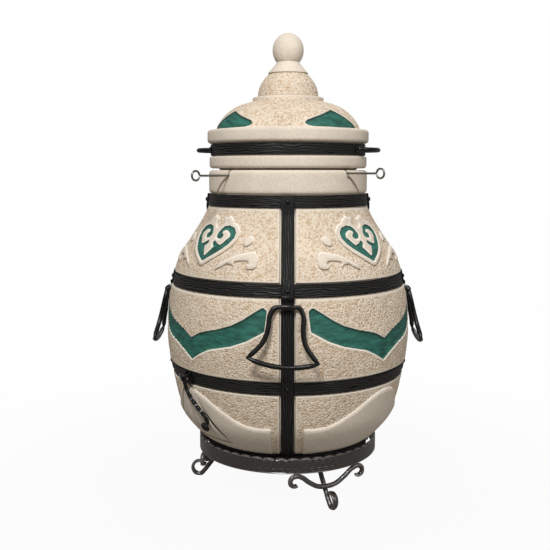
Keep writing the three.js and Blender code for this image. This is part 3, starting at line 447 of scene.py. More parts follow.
def cut(bm, cutter, kind="DIFFERENCE"):
    """The first mesh less the second, or the two as one."""
    objects = [put("cut", as_mesh("cut", part)) for part in (bm, cutter)]
    modifier = objects[0].modifiers.new("cut", "BOOLEAN")
    modifier.object, modifier.operation, modifier.solver = objects[1], kind, "EXACT"
    bpy.context.view_layer.update()
    result = bmesh.new()
    result.from_object(objects[0], bpy.context.evaluated_depsgraph_get())
    for obj in objects:
        mesh = obj.data
        bpy.data.objects.remove(obj)
        bpy.data.meshes.remove(mesh)
    return result


rod_azimuths = {"low": -45, "high": 45}
low_notch, notch_width, rod_bar, cutter_reach = 16, 9, 5, 30


def notch(depth, azimuth):
    """A cutter for a round-bottomed notch right across the rim."""
    half, reach = notch_width / 2, collar_radius + cutter_reach
    outline = [(half, rim_z + 30), (-half, rim_z + 30)] + arc((0, rim_z - depth + half), half, 180, 360, 8)
    return prism(outline, -reach, reach, azimuth)


def bar(points, widths, side, sides=14, turns=None, chamfer=0):
    """A bar drawn along a path: a ring of points is extruded from place to place. Its widths are measured
    along the side direction and square to it."""
    points = [Vector(p) for p in points]
    last = len(points) - 1
    widths = widths if isinstance(widths, list) else [widths] * (last + 1)
    widths = [(w, w) if np.isscalar(w) else w for w in widths]
    turns = turns or [0] * (last + 1)
    side = Vector(side)
    bm = bmesh.new()
    ring = bmesh.ops.create_circle(bm, cap_ends=False, segments=sides, radius=0.5)["verts"]
    if chamfer:
        ring = bmesh.ops.bevel(bm, geom=ring, offset=chamfer, affect="VERTICES", segments=1, profile=0.5,
                               material=-1)["verts"]
    place = Matrix.Identity(4)
    for i, point in enumerate(points):
        ahead = (points[min(i + 1, last)] - points[max(i - 1, 0)]).normalized()
        side = (side - ahead * side.dot(ahead)).normalized()
        frame_matrix = Matrix((side, ahead.cross(side), ahead)).transposed().to_4x4()
        target = (Matrix.Translation(point) @ frame_matrix @ Matrix.Rotation(turns[i], 4, "Z")
                  @ Matrix.Diagonal((widths[i][0], widths[i][1], 1, 1)))
        if i:
            edges = [edge for edge in bm.edges if edge.verts[0] in held and edge.verts[1] in held]
            ring = verts_of(bmesh.ops.extrude_edge_only(bm, edges=edges)["geom"])
        held = set(ring)
        bmesh.ops.transform(bm, matrix=target @ place.inverted(), verts=ring)
        place = target
    bmesh.ops.holes_fill(bm, edges=bm.edges, sides=0)
    return outward(bm)


slit_width, slit_depth, slit_run, slit_top = 5, 12, 56, 796.3
slit_shares = ((0, 0), (0.26, 0.16), (0.6, 0.5), (0.85, 0.8), (1, 1))


def slit(side):
    """A cutter for a saw cut from a notch to the collar's lower edge, widest at the face."""
    turns = [side * (math.radians(45) + share * slit_run / collar_radius) for share, _ in slit_shares]
    path = [(collar_radius * math.sin(a), -collar_radius * math.cos(a),
             slit_top - down * (slit_top - collar_z + 2)) for a, (_, down) in zip(turns, slit_shares)]
    radial = (math.sin(turns[0]), -math.cos(turns[0]), 0)
    return bar(through(path, 12), [(2 * slit_depth, 1.3 * slit_width)] * 12, radial, 4)


def vessel_cutters():
    """The doorway and the two notches; the high rod's is shallower by the low rod that it crosses."""
    right = arch(0, 28)
    outline = [(x, z) for x, z in right] + [(-x, z) for x, z in right[-2::-1]]
    return joined([prism(outline, 138, belly_radius + cutter_reach, door_azimuth),
                   notch(low_notch, rod_azimuths["low"]),
                   notch(low_notch - rod_bar - gap, rod_azimuths["high"])])


def grain(tree, place, size, detail=2, **more):
    """Noise with lumps of about the given size in metres."""
    return add(tree, "ShaderNodeTexNoise", {"Vector": place, "Scale": 1 / size, "Detail": detail, **more})


def span(tree, value, low=0, high=1, to_low=0, to_high=1):
    """A value carried from one range to another and held at its ends."""
    return add(tree, "ShaderNodeMapRange", {"Value": value, "From Min": low, "From Max": high,
                                            "To Min": to_low, "To Max": to_high})


def calc(tree, operation, *values, clamp=False):
    return add(tree, "ShaderNodeMath", dict(enumerate(values)), operation=operation, use_clamp=clamp)


def mask(tree, name, blur):
    """A mask from a piece's own distances, sharp to the given millimetres."""
    return span(tree, add(tree, "ShaderNodeAttribute", attribute_name=name).outputs["Fac"], -blur, blur)


def mix(tree, share, first, second, kind="MIX"):
    return add(tree, "ShaderNodeMix", {0: share, 6: first, 7: second}, data_type="RGBA",
               blend_type=kind).outputs[2]


def bump(tree, height, strength, distance, **under):
    return add(tree, "ShaderNodeBump",
               {"Height": height, "Strength": strength, "Distance": distance, **under})


def own_place(tree):
    return add(tree, "ShaderNodeTexCoord").outputs["Object"]


def fireclay():
    """Unglazed fireclay: matt, sandy beige with grains of chamotte; slip-smoothed places are paler and finer,
    and the green is a matt mineral paint brushed on, paler where it runs thin. Painted highlight and painted
    shadow lines sit on the relief's steps: pale along the top edge of what stands proud and brown under it,
    dark inside the top edge of the green and pale on its lower lip. The door's side faces and back carry
    painted shade, darker deeper behind its face."""
    material, tree, surface = new_material("chamotte fireclay with green slip")
    place = own_place(tree)
    grains = add(tree, "ShaderNodeTexVoronoi", {"Vector": place, "Scale": 1 / 0.0044})
    grit, cloud = grain(tree, place, 0.0055, 3, Roughness=0.6), grain(tree, place, 0.09, 3)
    drawn = add(tree, "ShaderNodeMapping", {"Vector": place, "Scale": (1, 1, 3.5)})
    stroke = grain(tree, drawn, 0.03, 3, Distortion=0.5)
    each = add(tree, "ShaderNodeSeparateColor", {0: grains.outputs["Color"]})
    ground = mix(tree, span(tree, each, 0, 0.35), "#c4aa8d", "#dac8b1")
    ground = mix(tree, span(tree, each, 0.35, 1), ground, "#e4d6c4")
    rough = mix(tree, span(tree, grit, 0.3, 0.46), "#b39677", ground)
    even = mix(tree, span(tree, grit, 0.35, 0.7), "#d2c5b4", "#dfd3c3")
    smooth = mask(tree, "smooth_mm", 1.2)
    colour = mix(tree, smooth, rough, even)
    colour = mix(tree, 1.0, colour, span(tree, cloud, 0.3, 0.7, 0.93, 1.03), "MULTIPLY")
    colour = mix(tree, mask(tree, "line_mm", 0.8), colour, "#e6dccd")
    green, raised = mask(tree, "green_mm", 0.6), mask(tree, "raised_mm", 0.9)
    colour = mix(tree, green, colour, mix(tree, span(tree, stroke, 0.3, 0.75), "#0d4438", "#2f7567"))
    # Painted shadow and highlight on the relief's steps. What stands proud gets a pale painted highlight
    # along its top edge and a brown painted shadow under it. The green gets a dark painted shadow inside its
    # top edge and a pale painted highlight on its lower lip.
    for here, above, upper, lower in (("raised_mm", "raised_above_mm", "#f3eadd", "#7d664d"),
                                      ("green_mm", "green_above_mm", "#0a2b22", "#e9e0d3")):
        change = calc(tree, "SUBTRACT", mask(tree, here, 0.4), mask(tree, above, 0.5))
        for direction, edge_shading in ((0.75, upper), (-0.75, lower)):
            colour = mix(tree, calc(tree, "MULTIPLY", change, direction, clamp=True), colour, edge_shading)
    # Painted shade: the door's side faces and back darken the deeper they lie behind its face.
    depth = add(tree, "ShaderNodeAttribute", attribute_name="gap_shade_mm").outputs["Fac"]
    colour = mix(tree, span(tree, depth, 0.9, 4.5, 0, 0.88), colour, "#2c241d")
    moulded = bump(tree, calc(tree, "SUBTRACT", raised, green), 0.9, 0.0012)
    relief = calc(tree, "MULTIPLY_ADD", grains, -0.9, grit)
    amount = span(tree, smooth, 0, 1, 1, 0.12)
    wire(surface, {"Base Color": colour, "Roughness": span(tree, green, 0, 1, 0.93, 0.62),
                   "Normal": bump(tree, relief, amount, 0.0022, Normal=moulded)})
    return material


clay = fireclay()


def finish_piece(name, bm, material, body, replaced, azimuth=0, sharp=40):
    """Makes a bmesh in millimetres a piece of the scene at its azimuth, riding on its body."""
    turn(bm, azimuth)
    bmesh.ops.scale(bm, vec=(0.001, 0.001, 0.001), verts=bm.verts)
    mesh = as_mesh(name, bm)
    mesh.materials.append(material)
    mesh.polygons.foreach_set("use_smooth", [True] * len(mesh.polygons))
    mesh.set_sharp_from_angle(angle=math.radians(sharp))
    obj = put(name, mesh)
    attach(obj, body)
    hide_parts(*replaced)
    return obj


def mark_clay(obj, smooth, green=-far, raised=-far, green_above=-far, raised_above=-far, outline=-far,
              gap_shade=0):
    """Keeps on a piece's points how far inside the smooth, green and raised places they lie, also from a
    little higher for the painted edge lines. It also keeps how far the outline reaches past the green, and
    how deep the points lie behind the door's face for its painted shade, in millimetres."""
    for name, values in (("smooth_mm", smooth), ("green_mm", green), ("raised_mm", raised), ("gap_shade_mm", gap_shade),
                         ("green_above_mm", green_above), ("raised_above_mm", raised_above),
                         ("line_mm", green + outline)):
        layer = obj.data.attributes.new(name, "FLOAT", "POINT")
        values = np.broadcast_to(np.asarray(values, np.float32), len(obj.data.vertices))
        layer.data.foreach_set("value", values)


vessel_bm = spin(vessel_profile(), columns)
shape_vessel(vessel_bm)
vessel_bm = cut(cut(vessel_bm, vessel_cutters()), joined([slit(-1), slit(1)]))
vessel = finish_piece("clay_vessel", vessel_bm, clay, "vessel", ["vessel"], sharp=50)
mark_clay(vessel, *vessel_ornament(read_points(vessel.data) * 1000)[1:], 3)


# Hoops: strip steel rolled with a wood-grain emboss, bent round, closed under the back strap and lacquered
# black. The belly hoops lie in seats of the clay, the neck hoop under the collar, the base hoop round the
# foot. The belly hoops lie in seats of the clay, the neck hoop under the collar, the base hoop round the
# foot.

strip_round = 0.9
neck_low, neck_high = 724, 753.7
base_band_low, base_band_high = 104.3, 134


def hoop(inner_at, low, high, steps=192):
    """A ring of strip whose inner side follows the clay, with its edges broken."""
    c = strip_round
    inner = [(inner_at(z), z) for z in np.linspace(low, high, 5)]
    outer = [(inner_at(z) + steel, z) for z in np.linspace(high - c, low + c, 5)]
    rows = inner + arc((outer[0][0] - c, high - c), c, 90, 0, 2) + outer[1:-1]
    rows += arc((outer[-1][0] - c, low + c), c, 0, -90, 2)
    return spin(rows, steps, closed=True)


def seat_at(z):
    return float(belly_at(z) - seat_depth)


def neck_at(z):
    return collar_radius - gap - steel * (z - belly_top) / (collar_z - belly_top)


def mark_strip(obj, along, across, seed):
    """Keeps where each point lies along and across its strip, in metres, for the emboss."""
    layer = obj.data.attributes.new("strip_m", "FLOAT_VECTOR", "POINT")
    values = np.column_stack([along, across, np.full(len(along), seed)]) * 0.001
    layer.data.foreach_set("vector", values.ravel())


def embossed_strip():
    """Hot-rolled strip with a wood grain rolled in, under black satin lacquer: long flowing lines 3 to 4 mm
    apart, their crests coloured lighter grey as a painted highlight for the light they catch; a plain edge
    1.5 mm wide is left on each side."""
    material, tree, surface = new_material("wood-grain embossed strip steel, black satin lacquer")
    place = add(tree, "ShaderNodeAttribute", attribute_name="strip_m").outputs["Vector"]
    drawn = add(tree, "ShaderNodeMapping", {"Vector": place, "Scale": (0.3, 1, 1)})
    wood = add(tree, "ShaderNodeTexWave", {"Vector": drawn, "Scale": 62, "Distortion": 8, "Detail": 1.5,
                                           "Detail Scale": 1.1, "Detail Roughness": 0.5}, bands_direction="Y")
    from_middle = calc(tree, "ABSOLUTE", add(tree, "ShaderNodeSeparateXYZ", {0: place}).outputs["Y"])
    lines = calc(tree, "MULTIPLY_ADD", grain(tree, drawn, 0.0016), 0.2, wood.outputs["Fac"])
    height = calc(tree, "MULTIPLY", lines, span(tree, from_middle, 0.0128, 0.0136, 1, 0))
    crest = span(tree, height, 0.3, 1.2)
    # Painted highlight: the crests of the emboss are given a lighter grey colour.
    wire(surface, {"Base Color": mix(tree, crest, "#050505", "#2e2d2c"), "Specular IOR Level": 0.22,
                   "Roughness": span(tree, crest, 0, 1, 0.6, 0.38), "Normal": bump(tree, height, 1, 0.0011)})
    return material


emboss = embossed_strip()
half = hoop_width / 2
for level, inner_at, low, high in (("base", lambda z: base_radius, base_band_low, base_band_high),
                                   ("lower", seat_at, hoop_levels[0] - half, hoop_levels[0] + half),
                                   ("upper", seat_at, hoop_levels[1] - half, hoop_levels[1] + half),
                                   ("neck", neck_at, neck_low, neck_high)):
    band = finish_piece(f"{level}_hoop", hoop(lambda z: flat_share * (inner_at(z) + gap), low, high), emboss,
                        "vessel", [f"{level}_band"])
    co = read_points(band.data) * 1000
    mark_strip(band, np.radians(polar(co)[1]) * belly_radius, co[:, 2] - (low + high) / 2, low)


# Straps: four lengths of the same strip, set over every hoop with a short joggle, and bolted where they
# cross it. They lie in troughs of the clay and run from the base hoop up to the neck hoop.

joggle, seated, lift = 9, 5.4, steel + 2 * gap
strap_azimuths = {"front": 0, "right": 90, "back": 180, "left": 270}


def side_strip(path, thickness, width, edge_round=0.8):
    """Flat strip bent along a path of radius and height, seen from the side; thickness goes to the path's
    right."""
    path = np.array(path, float)
    steps = np.diff(path, axis=0)
    steps /= np.linalg.norm(steps, axis=1)[:, None]
    before, after = np.vstack([steps[:1], steps]), np.vstack([steps, steps[-1:]])
    along = before + after
    along /= np.linalg.norm(along, axis=1)[:, None]
    reach = thickness / (along * after).sum(axis=1)
    outer = path + np.column_stack([along[:, 1], -along[:, 0]]) * reach[:, None]
    bm = bmesh.new()
    chains = []
    for line in (path, outer):
        verts = [bm.verts.new((-width / 2, -r, z)) for r, z in line]
        chains += [bm.edges.new(pair) for pair in zip(verts, verts[1:])]
    side = bmesh.ops.bridge_loops(bm, edges=chains)["faces"]
    pushed = bmesh.ops.extrude_face_region(bm, geom=side)["geom"]
    bmesh.ops.translate(bm, vec=(width, 0, 0), verts=verts_of(pushed))
    outward(bm)
    broken = [edge for edge in bm.edges if edge.calc_face_angle(0) > math.radians(60)]
    bmesh.ops.bevel(bm, geom=broken, offset=edge_round, affect="EDGES", segments=2, profile=0.5, material=-1)
    return bm


def strap_path():
    """The strap's inner side from the base hoop up to the neck hoop."""
    half = hoop_width / 2
    path = [(base_radius + lift, base_z + seat_margin), (base_radius + lift, base_band_high)]
    for z in np.arange(base_band_high + joggle, belly_top - joggle, 6):
        if all(abs(z - level) > half + joggle + 2 for level in hoop_levels):
            path.append((belly_at(z) - seated, z))
    for level in hoop_levels:
        start = next(i for i, row in enumerate(path) if row[1] > level)
        path[start:start] = [(belly_at(level + up) - seat_depth + out, level + up) for up, out in (
            (-half - joggle, seat_depth - seated), (-half - 1, lift - 0.5), (-half + 1, lift), (0, lift),
            (half - 1, lift), (half + 1, lift - 0.5), (half + joggle, seat_depth - seated))]
    path += [(neck_at(z) + lift, z) for z in (neck_low, neck_high)]
    return [(r * flat_share, z) for r, z in path]


strap_line = strap_path()
for side, azimuth in strap_azimuths.items():
    strap_bm = side_strip(strap_line, steel, hoop_width)
    co = read_points(strap_bm)
    strap = finish_piece(f"strap_{side}_strip", strap_bm, emboss, "vessel",
                         [f"strap_{side}"], azimuth)
    mark_strip(strap, co[:, 2], co[:, 0], 40 + azimuth)


# Bolts: dome heads on every crossing of strap and hoop, turned from black bar. Their shanks go through both
# strips, so each head lies on the strap's outer face.

bolt_radius, bolt_height = 5.5, 4.7


def strap_face(z):
    """The radius of the strap's outer face at a height."""
    radii, heights = zip(*strap_line)
    return float(np.interp(z, heights, radii)) + steel


def bolt_on(face_at, z, radius=bolt_radius, height=bolt_height, across=0):
    """A low dome on a short edge, lying on a face at the front that may slope."""
    slope = math.atan2(face_at(z - radius) - face_at(z + radius), 2 * radius)
    bm = spin([(0, 0), (radius, 0)] + [(radius * math.cos(a), height * (0.25 + 0.75 * math.sin(a)))
                                       for a in np.radians(np.linspace(0, 90, 7))], 24)
    bmesh.ops.transform(bm, verts=bm.verts, matrix=Matrix.Translation((across, -face_at(z) - gap, z))
                        @ Matrix.Rotation(math.pi / 2 - slope, 4, "X"))
    return bm


def lacquered_bar():
    """Round bar and plate, smooth under black satin lacquer: soft long highlights, faint waves from the
    forging."""
    material, tree, surface = new_material("round bar, black satin lacquer")
    place = own_place(tree)
    waves, dust = grain(tree, place, 0.012), grain(tree, place, 0.0012, 1)
    wire(surface, {"Base Color": mix(tree, waves, "#050505", "#0f0f0f"), "Specular IOR Level": 0.33,
                   "Roughness": span(tree, dust, 0, 1, 0.24, 0.38), "Normal": bump(tree, waves, 0.5, 0.0012)})
    return material


black_bar = lacquered_bar()
bolt_levels = {"lower": hoop_levels[0], "upper": hoop_levels[1], "neck": (neck_low + neck_high) / 2}
for side, azimuth in strap_azimuths.items():
    heads = joined([bolt_on(strap_face, z) for z in bolt_levels.values()])
    finish_piece(f"bolts_{side}", heads, black_bar, "vessel",
                 [f"bolt_{level}_{side}" for level in bolt_levels], azimuth)


# Handle brackets: 3 mm plate 28 mm wide, one welded on each strap. Its lower end is rolled round the
# handle's bar.

pivot_z, pivot_reach, eye_bore, plate_steel = 508, 308.75, 5.6, 3
bracket_width = 28

bracket_rows = (531.4, 529, 527, 524, 521, 518.5, 516, 512.5)

plate_line = [(strap_face(z) + gap + plate_steel, z) for z in bracket_rows]
plate_line += [(pivot_reach + r, z) for r, z in arc((0, pivot_z), eye_bore, 180, 478, 30)]
for side, azimuth in strap_azimuths.items():
    finish_piece(f"bracket_{side}", side_strip(plate_line, plate_steel, bracket_width, 0.5), black_bar,
                 "vessel", [f"handle_bracket_{side}"], azimuth)


# Carrying handles: 10 mm round bar bent to a bell and welded to a sagging grip whose ends are drawn to
# points. Each swings in its bracket's eye; the front one is bent a little askew, as in the photograph.

handle_bar, handle_swell, handle_drop, handle_half, handle_lean = 10, 1.6, 134, 76.5, 13.3
grip_sag, grip_point, grip_taper, leg_end, leg_taper = 1.115, 6, 0.12, 4, 5
bell_shares = ((0.42, 0.05), (0.495, 0.17), (0.505, 0.32), (0.54, 0.475), (0.645, 0.63), (0.83, 0.765),
               (1, 0.865))
handle_askew = {"front": 5}
askew_from, askew_to = 18, 44


def carry_handle(askew):
    start, swollen = bracket_width / 2 + handle_bar, handle_bar + handle_swell
    half = [(start, 0, 0)] + [(across * handle_half, 0, -down * handle_drop) for across, down in bell_shares]
    grip_z = half[-1][2] - 2
    half.append((handle_half + leg_end, 0, half[-1][2] - 2.4))
    knots = [(-x, y, z) for x, y, z in half[::-1]]
    knots += [(-bracket_width / 2, 0, 0), (bracket_width / 2, 0, 0)] + half
    legs = through(knots, 120)
    widths = [handle_bar + handle_swell * float(ramp(abs(x), start - 4, start + 8))
              - leg_taper * float(ramp(abs(x), handle_half - 8, handle_half + leg_end)) for x, _, _ in legs]
    t = np.linspace(0, 1, 41)
    sag = 2 * t * (1 - t)
    grip = np.column_stack([(2 * t - 1) * (handle_half + grip_point), 0 * t,
                            grip_z * (1 - sag) - handle_drop * grip_sag * sag])
    thick = [float(swollen * (0.3 + 0.7 * min(1, min(s, 1 - s) / grip_taper) ** 0.8)) for s in t]
    loop = cut(bar(legs, widths, (0, 1, 0)), bar(grip, thick, (0, 1, 0)), "UNION")
    for v in loop.verts:
        a = math.radians(askew) * float(ramp(math.hypot(v.co.x, v.co.z), askew_from, askew_to))
        v.co.x, v.co.z = (v.co.x * math.cos(a) + v.co.z * math.sin(a),
                          v.co.z * math.cos(a) - v.co.x * math.sin(a))
    bmesh.ops.transform(loop, verts=loop.verts, matrix=Matrix.Translation((0, -pivot_reach, pivot_z))
                        @ Matrix.Rotation(-math.radians(handle_lean), 4, "X"))
    return loop


for side, azimuth in strap_azimuths.items():
    finish_piece(f"bell_handle_{side}", carry_handle(handle_askew.get(side, 0)), black_bar, f"handle_{side}",
                 [f"carry_handle_{side}"], azimuth)


# Air door: a clay plug cut from the same wall, smoothed with slip; two soft folds run down its face. Its
# right edge is worn back, and its side faces and back are darkened with painted shade. It stands loose in its
# doorway and is drawn straight out.

door_centre = (0, door_sill + 56)
face_shares = (1, 0.99, 0.975, 0.955, 0.93, 0.89, 0.83, 0.76, 0.68, 0.6, 0.5, 0.4, 0.3, 0.2, 0.1, 0.001)
folds, fold_height, fold_width, fold_z = ((-20, 0.12), (14, -0.1)), 3.4, 6, 220
edge_fall, edge_width = 5, 6


def door_radius(x, z, proud):
    reach = belly_at(z) + proud
    return np.sqrt(reach * reach - x * x)


def air_door():
    right = arch(door_slit, 34)
    worn = np.interp([(z - door_sill) / door_height for _, z in right], *zip(*worn_edge))
    outline = [(x - away, z + gap) for (x, z), away in zip(right, worn)]
    outline += [(-x, z + gap) for x, z in right[-2::-1]]
    outline += [(x, door_sill + gap) for x in np.linspace(-right[0][0], right[0][0], 24)[1:-1]]
    bm = bmesh.new()
    ring = [bm.verts.new((x, 0, z)) for x, z in outline]
    edges = [bm.edges.new(pair) for pair in zip(ring, ring[1:] + ring[:1])]
    to_centre = Matrix.Translation((-door_centre[0], 0, -door_centre[1]))
    for before, share in zip(face_shares, face_shares[1:]):
        new = bmesh.ops.extrude_edge_only(bm, edges=edges)["geom"]
        held = set(verts_of(new))
        bmesh.ops.scale(bm, vec=(share / before, 1, share / before), space=to_centre, verts=verts_of(new))
        edges = [g for g in new
                 if isinstance(g, bmesh.types.BMEdge) and g.verts[0] in held and g.verts[1] in held]
    bmesh.ops.remove_doubles(bm, verts=bm.verts, dist=0.15)
    front = bm.verts[:]
    back = verts_of(bmesh.ops.duplicate(bm, geom=bm.verts[:] + bm.edges[:] + bm.faces[:])["geom"])
    for verts, is_front in ((front, True), (back, False)):
        co = np.array([v.co for v in verts])
        inside = inside_mm(co[:, 0], co[:, 2], outline)
        fall = edge_fall * (1 - np.sqrt(1 - np.clip(1 - inside / edge_width, 0, 1) ** 2))
        fold = sum(fold_height * np.exp(-((co[:, 0] - x - slant * (co[:, 2] - fold_z)) / fold_width) ** 2)
                   for x, slant in folds)
        proud = door_proud + fold * ramp(inside, 2, 14) - fall if is_front else np.full(len(co), -wall)
        for v, r in zip(verts, door_radius(co[:, 0], co[:, 2], proud)):
            v.co.y = -r
    bmesh.ops.bridge_loops(bm, edges=[edge for edge in bm.edges if edge.is_boundary])
    return outward(bm)


door = finish_piece("door_leaf", air_door(), clay, "door", ["door_plug"], door_azimuth, 50)
co = read_points(door.data) * 1000
# How deep each point lies behind the door's face, for the painted shade in its gap.
mark_clay(door, 20, gap_shade=belly_at(co[:, 2]) + door_proud - polar(co)[0])


# Latch: a bracket with two ears on the lower hoop, a pin with a finger ring, and a twisted square bar with
# an eye at each end, which hangs before the door's edge and keeps it shut.

latch_reach, latch_across, latch_z, latch_hub, latch_bar_width = 314.064, 14, 318, 6.764, 8
latch_drop, latch_sweep, latch_off, latch_overlap = 118, 69, 16.4, 1.3
latch_shares = ((0.2, 0.1), (0.25, 0.25), (0.45, 0.42), (0.68, 0.56), (0.91, 0.69), (1, 0.81), (0.93, 0.9),
                (0.74, 0.93))
twist_from, twist_run, twists = 0.15, 0.6, 1.5
pin_reach, pin_ring, pin_wire, pin_bar = 10.5, 5.2, 3.6, 6


def before_belly(x, z):
    return (x, -float(door_radius(x, z, latch_off)), z)


def latch():
    hub = [(latch_across, -latch_reach + latch_hub * r, latch_z + latch_hub * z)
           for r, z in arc((0, 0), 1, -90, 228, 30)]
    route = [(latch_across, -latch_reach, latch_z - latch_hub + latch_overlap)]
    route += [before_belly(x * latch_sweep, latch_z - down * latch_drop) for x, down in latch_shares]
    turned = [math.pi / 4 + 2 * math.pi * twists * min(max((s - twist_from) / twist_run, 0), 1)
              for s in np.linspace(0, 1, 130)]
    square = bar(through(route, 130), latch_bar_width * math.sqrt(2), (1, 0, 0), 4, turned, 0.07)
    tail_x, tail_z = latch_shares[-1][0] * latch_sweep, latch_z - latch_shares[-1][1] * latch_drop
    eye = [before_belly(tail_x + x, tail_z - latch_bar_width + z)
           for x, z in arc((0, 0), latch_bar_width, 90, 390, 30)]
    whole = cut(square, bar(hub, latch_bar_width, (1, 0, 0)), "UNION")
    return cut(whole, bar(eye, latch_bar_width * 0.9, (0, 1, 0)), "UNION")


def latch_pin():
    neck = -pin_reach - 4.9
    straight = bar([(x, 0, 0) for x in (pin_reach + 3, pin_reach + 2.4, 0, neck)],
                   [4.6] + [pin_bar] * 3, (0, 1, 0))
    ring = bar([(neck - pin_ring + x, 0, z) for x, z in arc((0, 0), pin_ring, 0, 330, 30)],
               pin_wire, (0, 1, 0), 10)
    whole = cut(straight, ring, "UNION")
    bmesh.ops.translate(whole, vec=(latch_across, -latch_reach, latch_z), verts=whole.verts)
    return whole


def bright_steel():
    """Cold-drawn bar left bright: fine draw marks along it and a grey film of oxide in patches."""
    material, tree, surface = new_material("cold-drawn steel bar, bright")
    place = own_place(tree)
    film, scratch = grain(tree, place, 0.02, 3), grain(tree, place, 0.0012)
    wire(surface, {"Base Color": mix(tree, film, "#5b5955", "#a3a19b"), "Metallic": 1.0,
                   "Roughness": span(tree, scratch, 0, 1, 0.25, 0.5),
                   "Normal": bump(tree, scratch, 0.3, 0.0002)})
    return material


def recoat(node, material):
    """Gives a solid of the frame that stays in sight the material of its neighbours."""
    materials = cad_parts[node].data.materials
    materials.clear()
    materials.append(material)


drawn_bar = bright_steel()
finish_piece("latch_twisted_bar", latch(), black_bar, "latch", ["latch_bar"], door_azimuth)
finish_piece("latch_ring_pin", latch_pin(), drawn_bar, "pin", ["latch_pin"], door_azimuth)
recoat("latch_bracket", black_bar)


# Hanging rods: two lengths of 5 mm bright bar across the rim, one over the other in notches. Each lies
# loose and has a bent eye at its end, to pull it by.

rod_eye, eye_reach, rod_end = 11, 300, 214.5
rod_levels = {"low": 798.8, "high": 804.1}
eye_path = np.radians(np.linspace(8, 345, 44))


def hanging_rod(z):
    ring = [(0, -eye_reach + rod_eye * math.cos(a), z + rod_eye * math.sin(a)) for a in eye_path]
    neck = [(0, y, z) for y in (rod_end, rod_end - 1, 0, -200, -eye_reach + rod_eye + 6)]
    bend = [(0, -eye_reach + rod_eye + 3, z + 0.2), (0, -eye_reach + rod_eye + 1, z + 0.9)]
    straight = bar(neck + bend, [3.6] + [rod_bar] * 6, (1, 0, 0))
    return cut(straight, bar(ring, rod_bar, (1, 0, 0)), "UNION")


for level, z in rod_levels.items():
    finish_piece(f"rod_{level}_bar", hanging_rod(z), drawn_bar, f"rod_{level}",
                 [f"hanging_rod_{level}"], rod_azimuths[level])


# Fire grate: a loose cast-iron disc on four feet over the ash, as it comes from the sand. It is the frame's
# own solid and only gets its material here.

def cast_iron():
    """Grey iron as cast: sandy grain about a millimetre wide, matt, browned by fire."""
    material, tree, surface = new_material("sand-cast iron, burnt")
    place = own_place(tree)
    colour = mix(tree, grain(tree, place, 0.05, 3), "#262524", "#54453a")
    wire(surface, {"Base Color": colour, "Metallic": 0.4, "Roughness": 0.8,
                   "Normal": bump(tree, grain(tree, place, 0.0015, 3), 0.7, 0.0006)})
    return material


recoat("fire_grate", cast_iron())


# Lid: a hollow dome of the same fireclay with two flanges, its ground rough, its flanges and top ring
# smoothed, and four leaves sunk in the dome and brushed green. It sits on the rim by a low pad and is
# turned a little.

lid_turn = -9
pad_z = rim_z + gap
lower_flange_z, groove_z, upper_flange_z, flange_top, dome_top, lid_top = (
    pad_z + up for up in (4, 33, 66, 99, 170, 180.5))
lower_flange, groove, upper_flange, dome_foot, dome_head = 199, 191.5, 203.5, 181, 89.6
vent, lid_wall = 47.5, 44
dome_shares = ((0, 0), (0.05, 0.19), (0.2, 0.46), (0.4, 0.69), (0.66, 0.87), (1, 1))
leaf_outline = ((74, 911), (47, 912.5), (27, 913.5), (22.5, 916), (20.4, 921.5), (22.2, 928),
                (28.2, 934.5), (36.2, 942), (44.2, 950), (49.7, 955), (54.5, 949.5), (60.5, 940),
                (66.5, 930), (71.3, 920))
leaf_turn, leaf_radius, lid_columns, flange_round = 1.5, 165, 480, 8


def lid_profile():
    """Radius and height round the lid: pad, lower flange, groove, upper flange, dome, vent, and back
    inside."""
    rows = [(154, pad_z), (172, pad_z), (176, lower_flange_z)]
    rows += arc((lower_flange - flange_round, lower_flange_z + flange_round), flange_round, -90, 0, 5)
    rows += arc((lower_flange - 4, groove_z - 4), 4, 0, 90, 4)
    rows += [(groove, groove_z), (groove, upper_flange_z)]
    rows += arc((upper_flange - flange_round, upper_flange_z + flange_round), flange_round, -90, 0, 5)
    rows += arc((upper_flange - 7, flange_top - 7), 7, 0, 90, 6) + [(186, flange_top)]
    curve = through([(dome_foot + (dome_head - dome_foot) * way, flange_top + up * (dome_top - flange_top))
                     for way, up in dome_shares], 44)
    rows += [(float(r), float(z)) for r, z in curve]
    rows += [(dome_head, dome_top + 4)] + arc((dome_head - 4, lid_top - 4), 4, 0, 90, 4)
    rows += arc((vent + 4, lid_top - 4), 4, 90, 180, 4) + [(vent, dome_top - lid_wall / 2)]
    rows += [(dome_foot + (vent - dome_foot) * way - lid_wall * (1 - way),
              flange_top + up * (dome_top - flange_top) - lid_wall) for way, up in dome_shares[-2:0:-1]]
    return rows + [(148, flange_top - lid_wall), (148, pad_z + 6)]


def lid_ornament(co):
    """How far each point lies inside the leaves and inside the smoothed clay."""
    z = co[:, 2]
    radius, azimuth = polar(co)
    leaf = inside_mm(np.radians(to_quarter(azimuth - leaf_turn)) * leaf_radius, z,
                     [(math.radians(a) * leaf_radius, h) for a, h in leaf_outline])
    shape = np.interp(np.clip((dome_foot - radius) / (dome_foot - dome_head), 0, 1), *zip(*dome_shares))
    off_curve = np.abs(z - flange_top - shape * (dome_top - flange_top))
    on_dome = (off_curve < 9) & (radius < 183) & (z > flange_top - 4) & (z < dome_top + 1)
    return np.where(on_dome, leaf, -far), np.where(on_dome, np.maximum(leaf + 1.5, flange_top + 3 - z), far)


lid_bm = spin(lid_profile(), lid_columns, closed=True)
co = read_points(lid_bm)
leaf, smooth = lid_ornament(co)
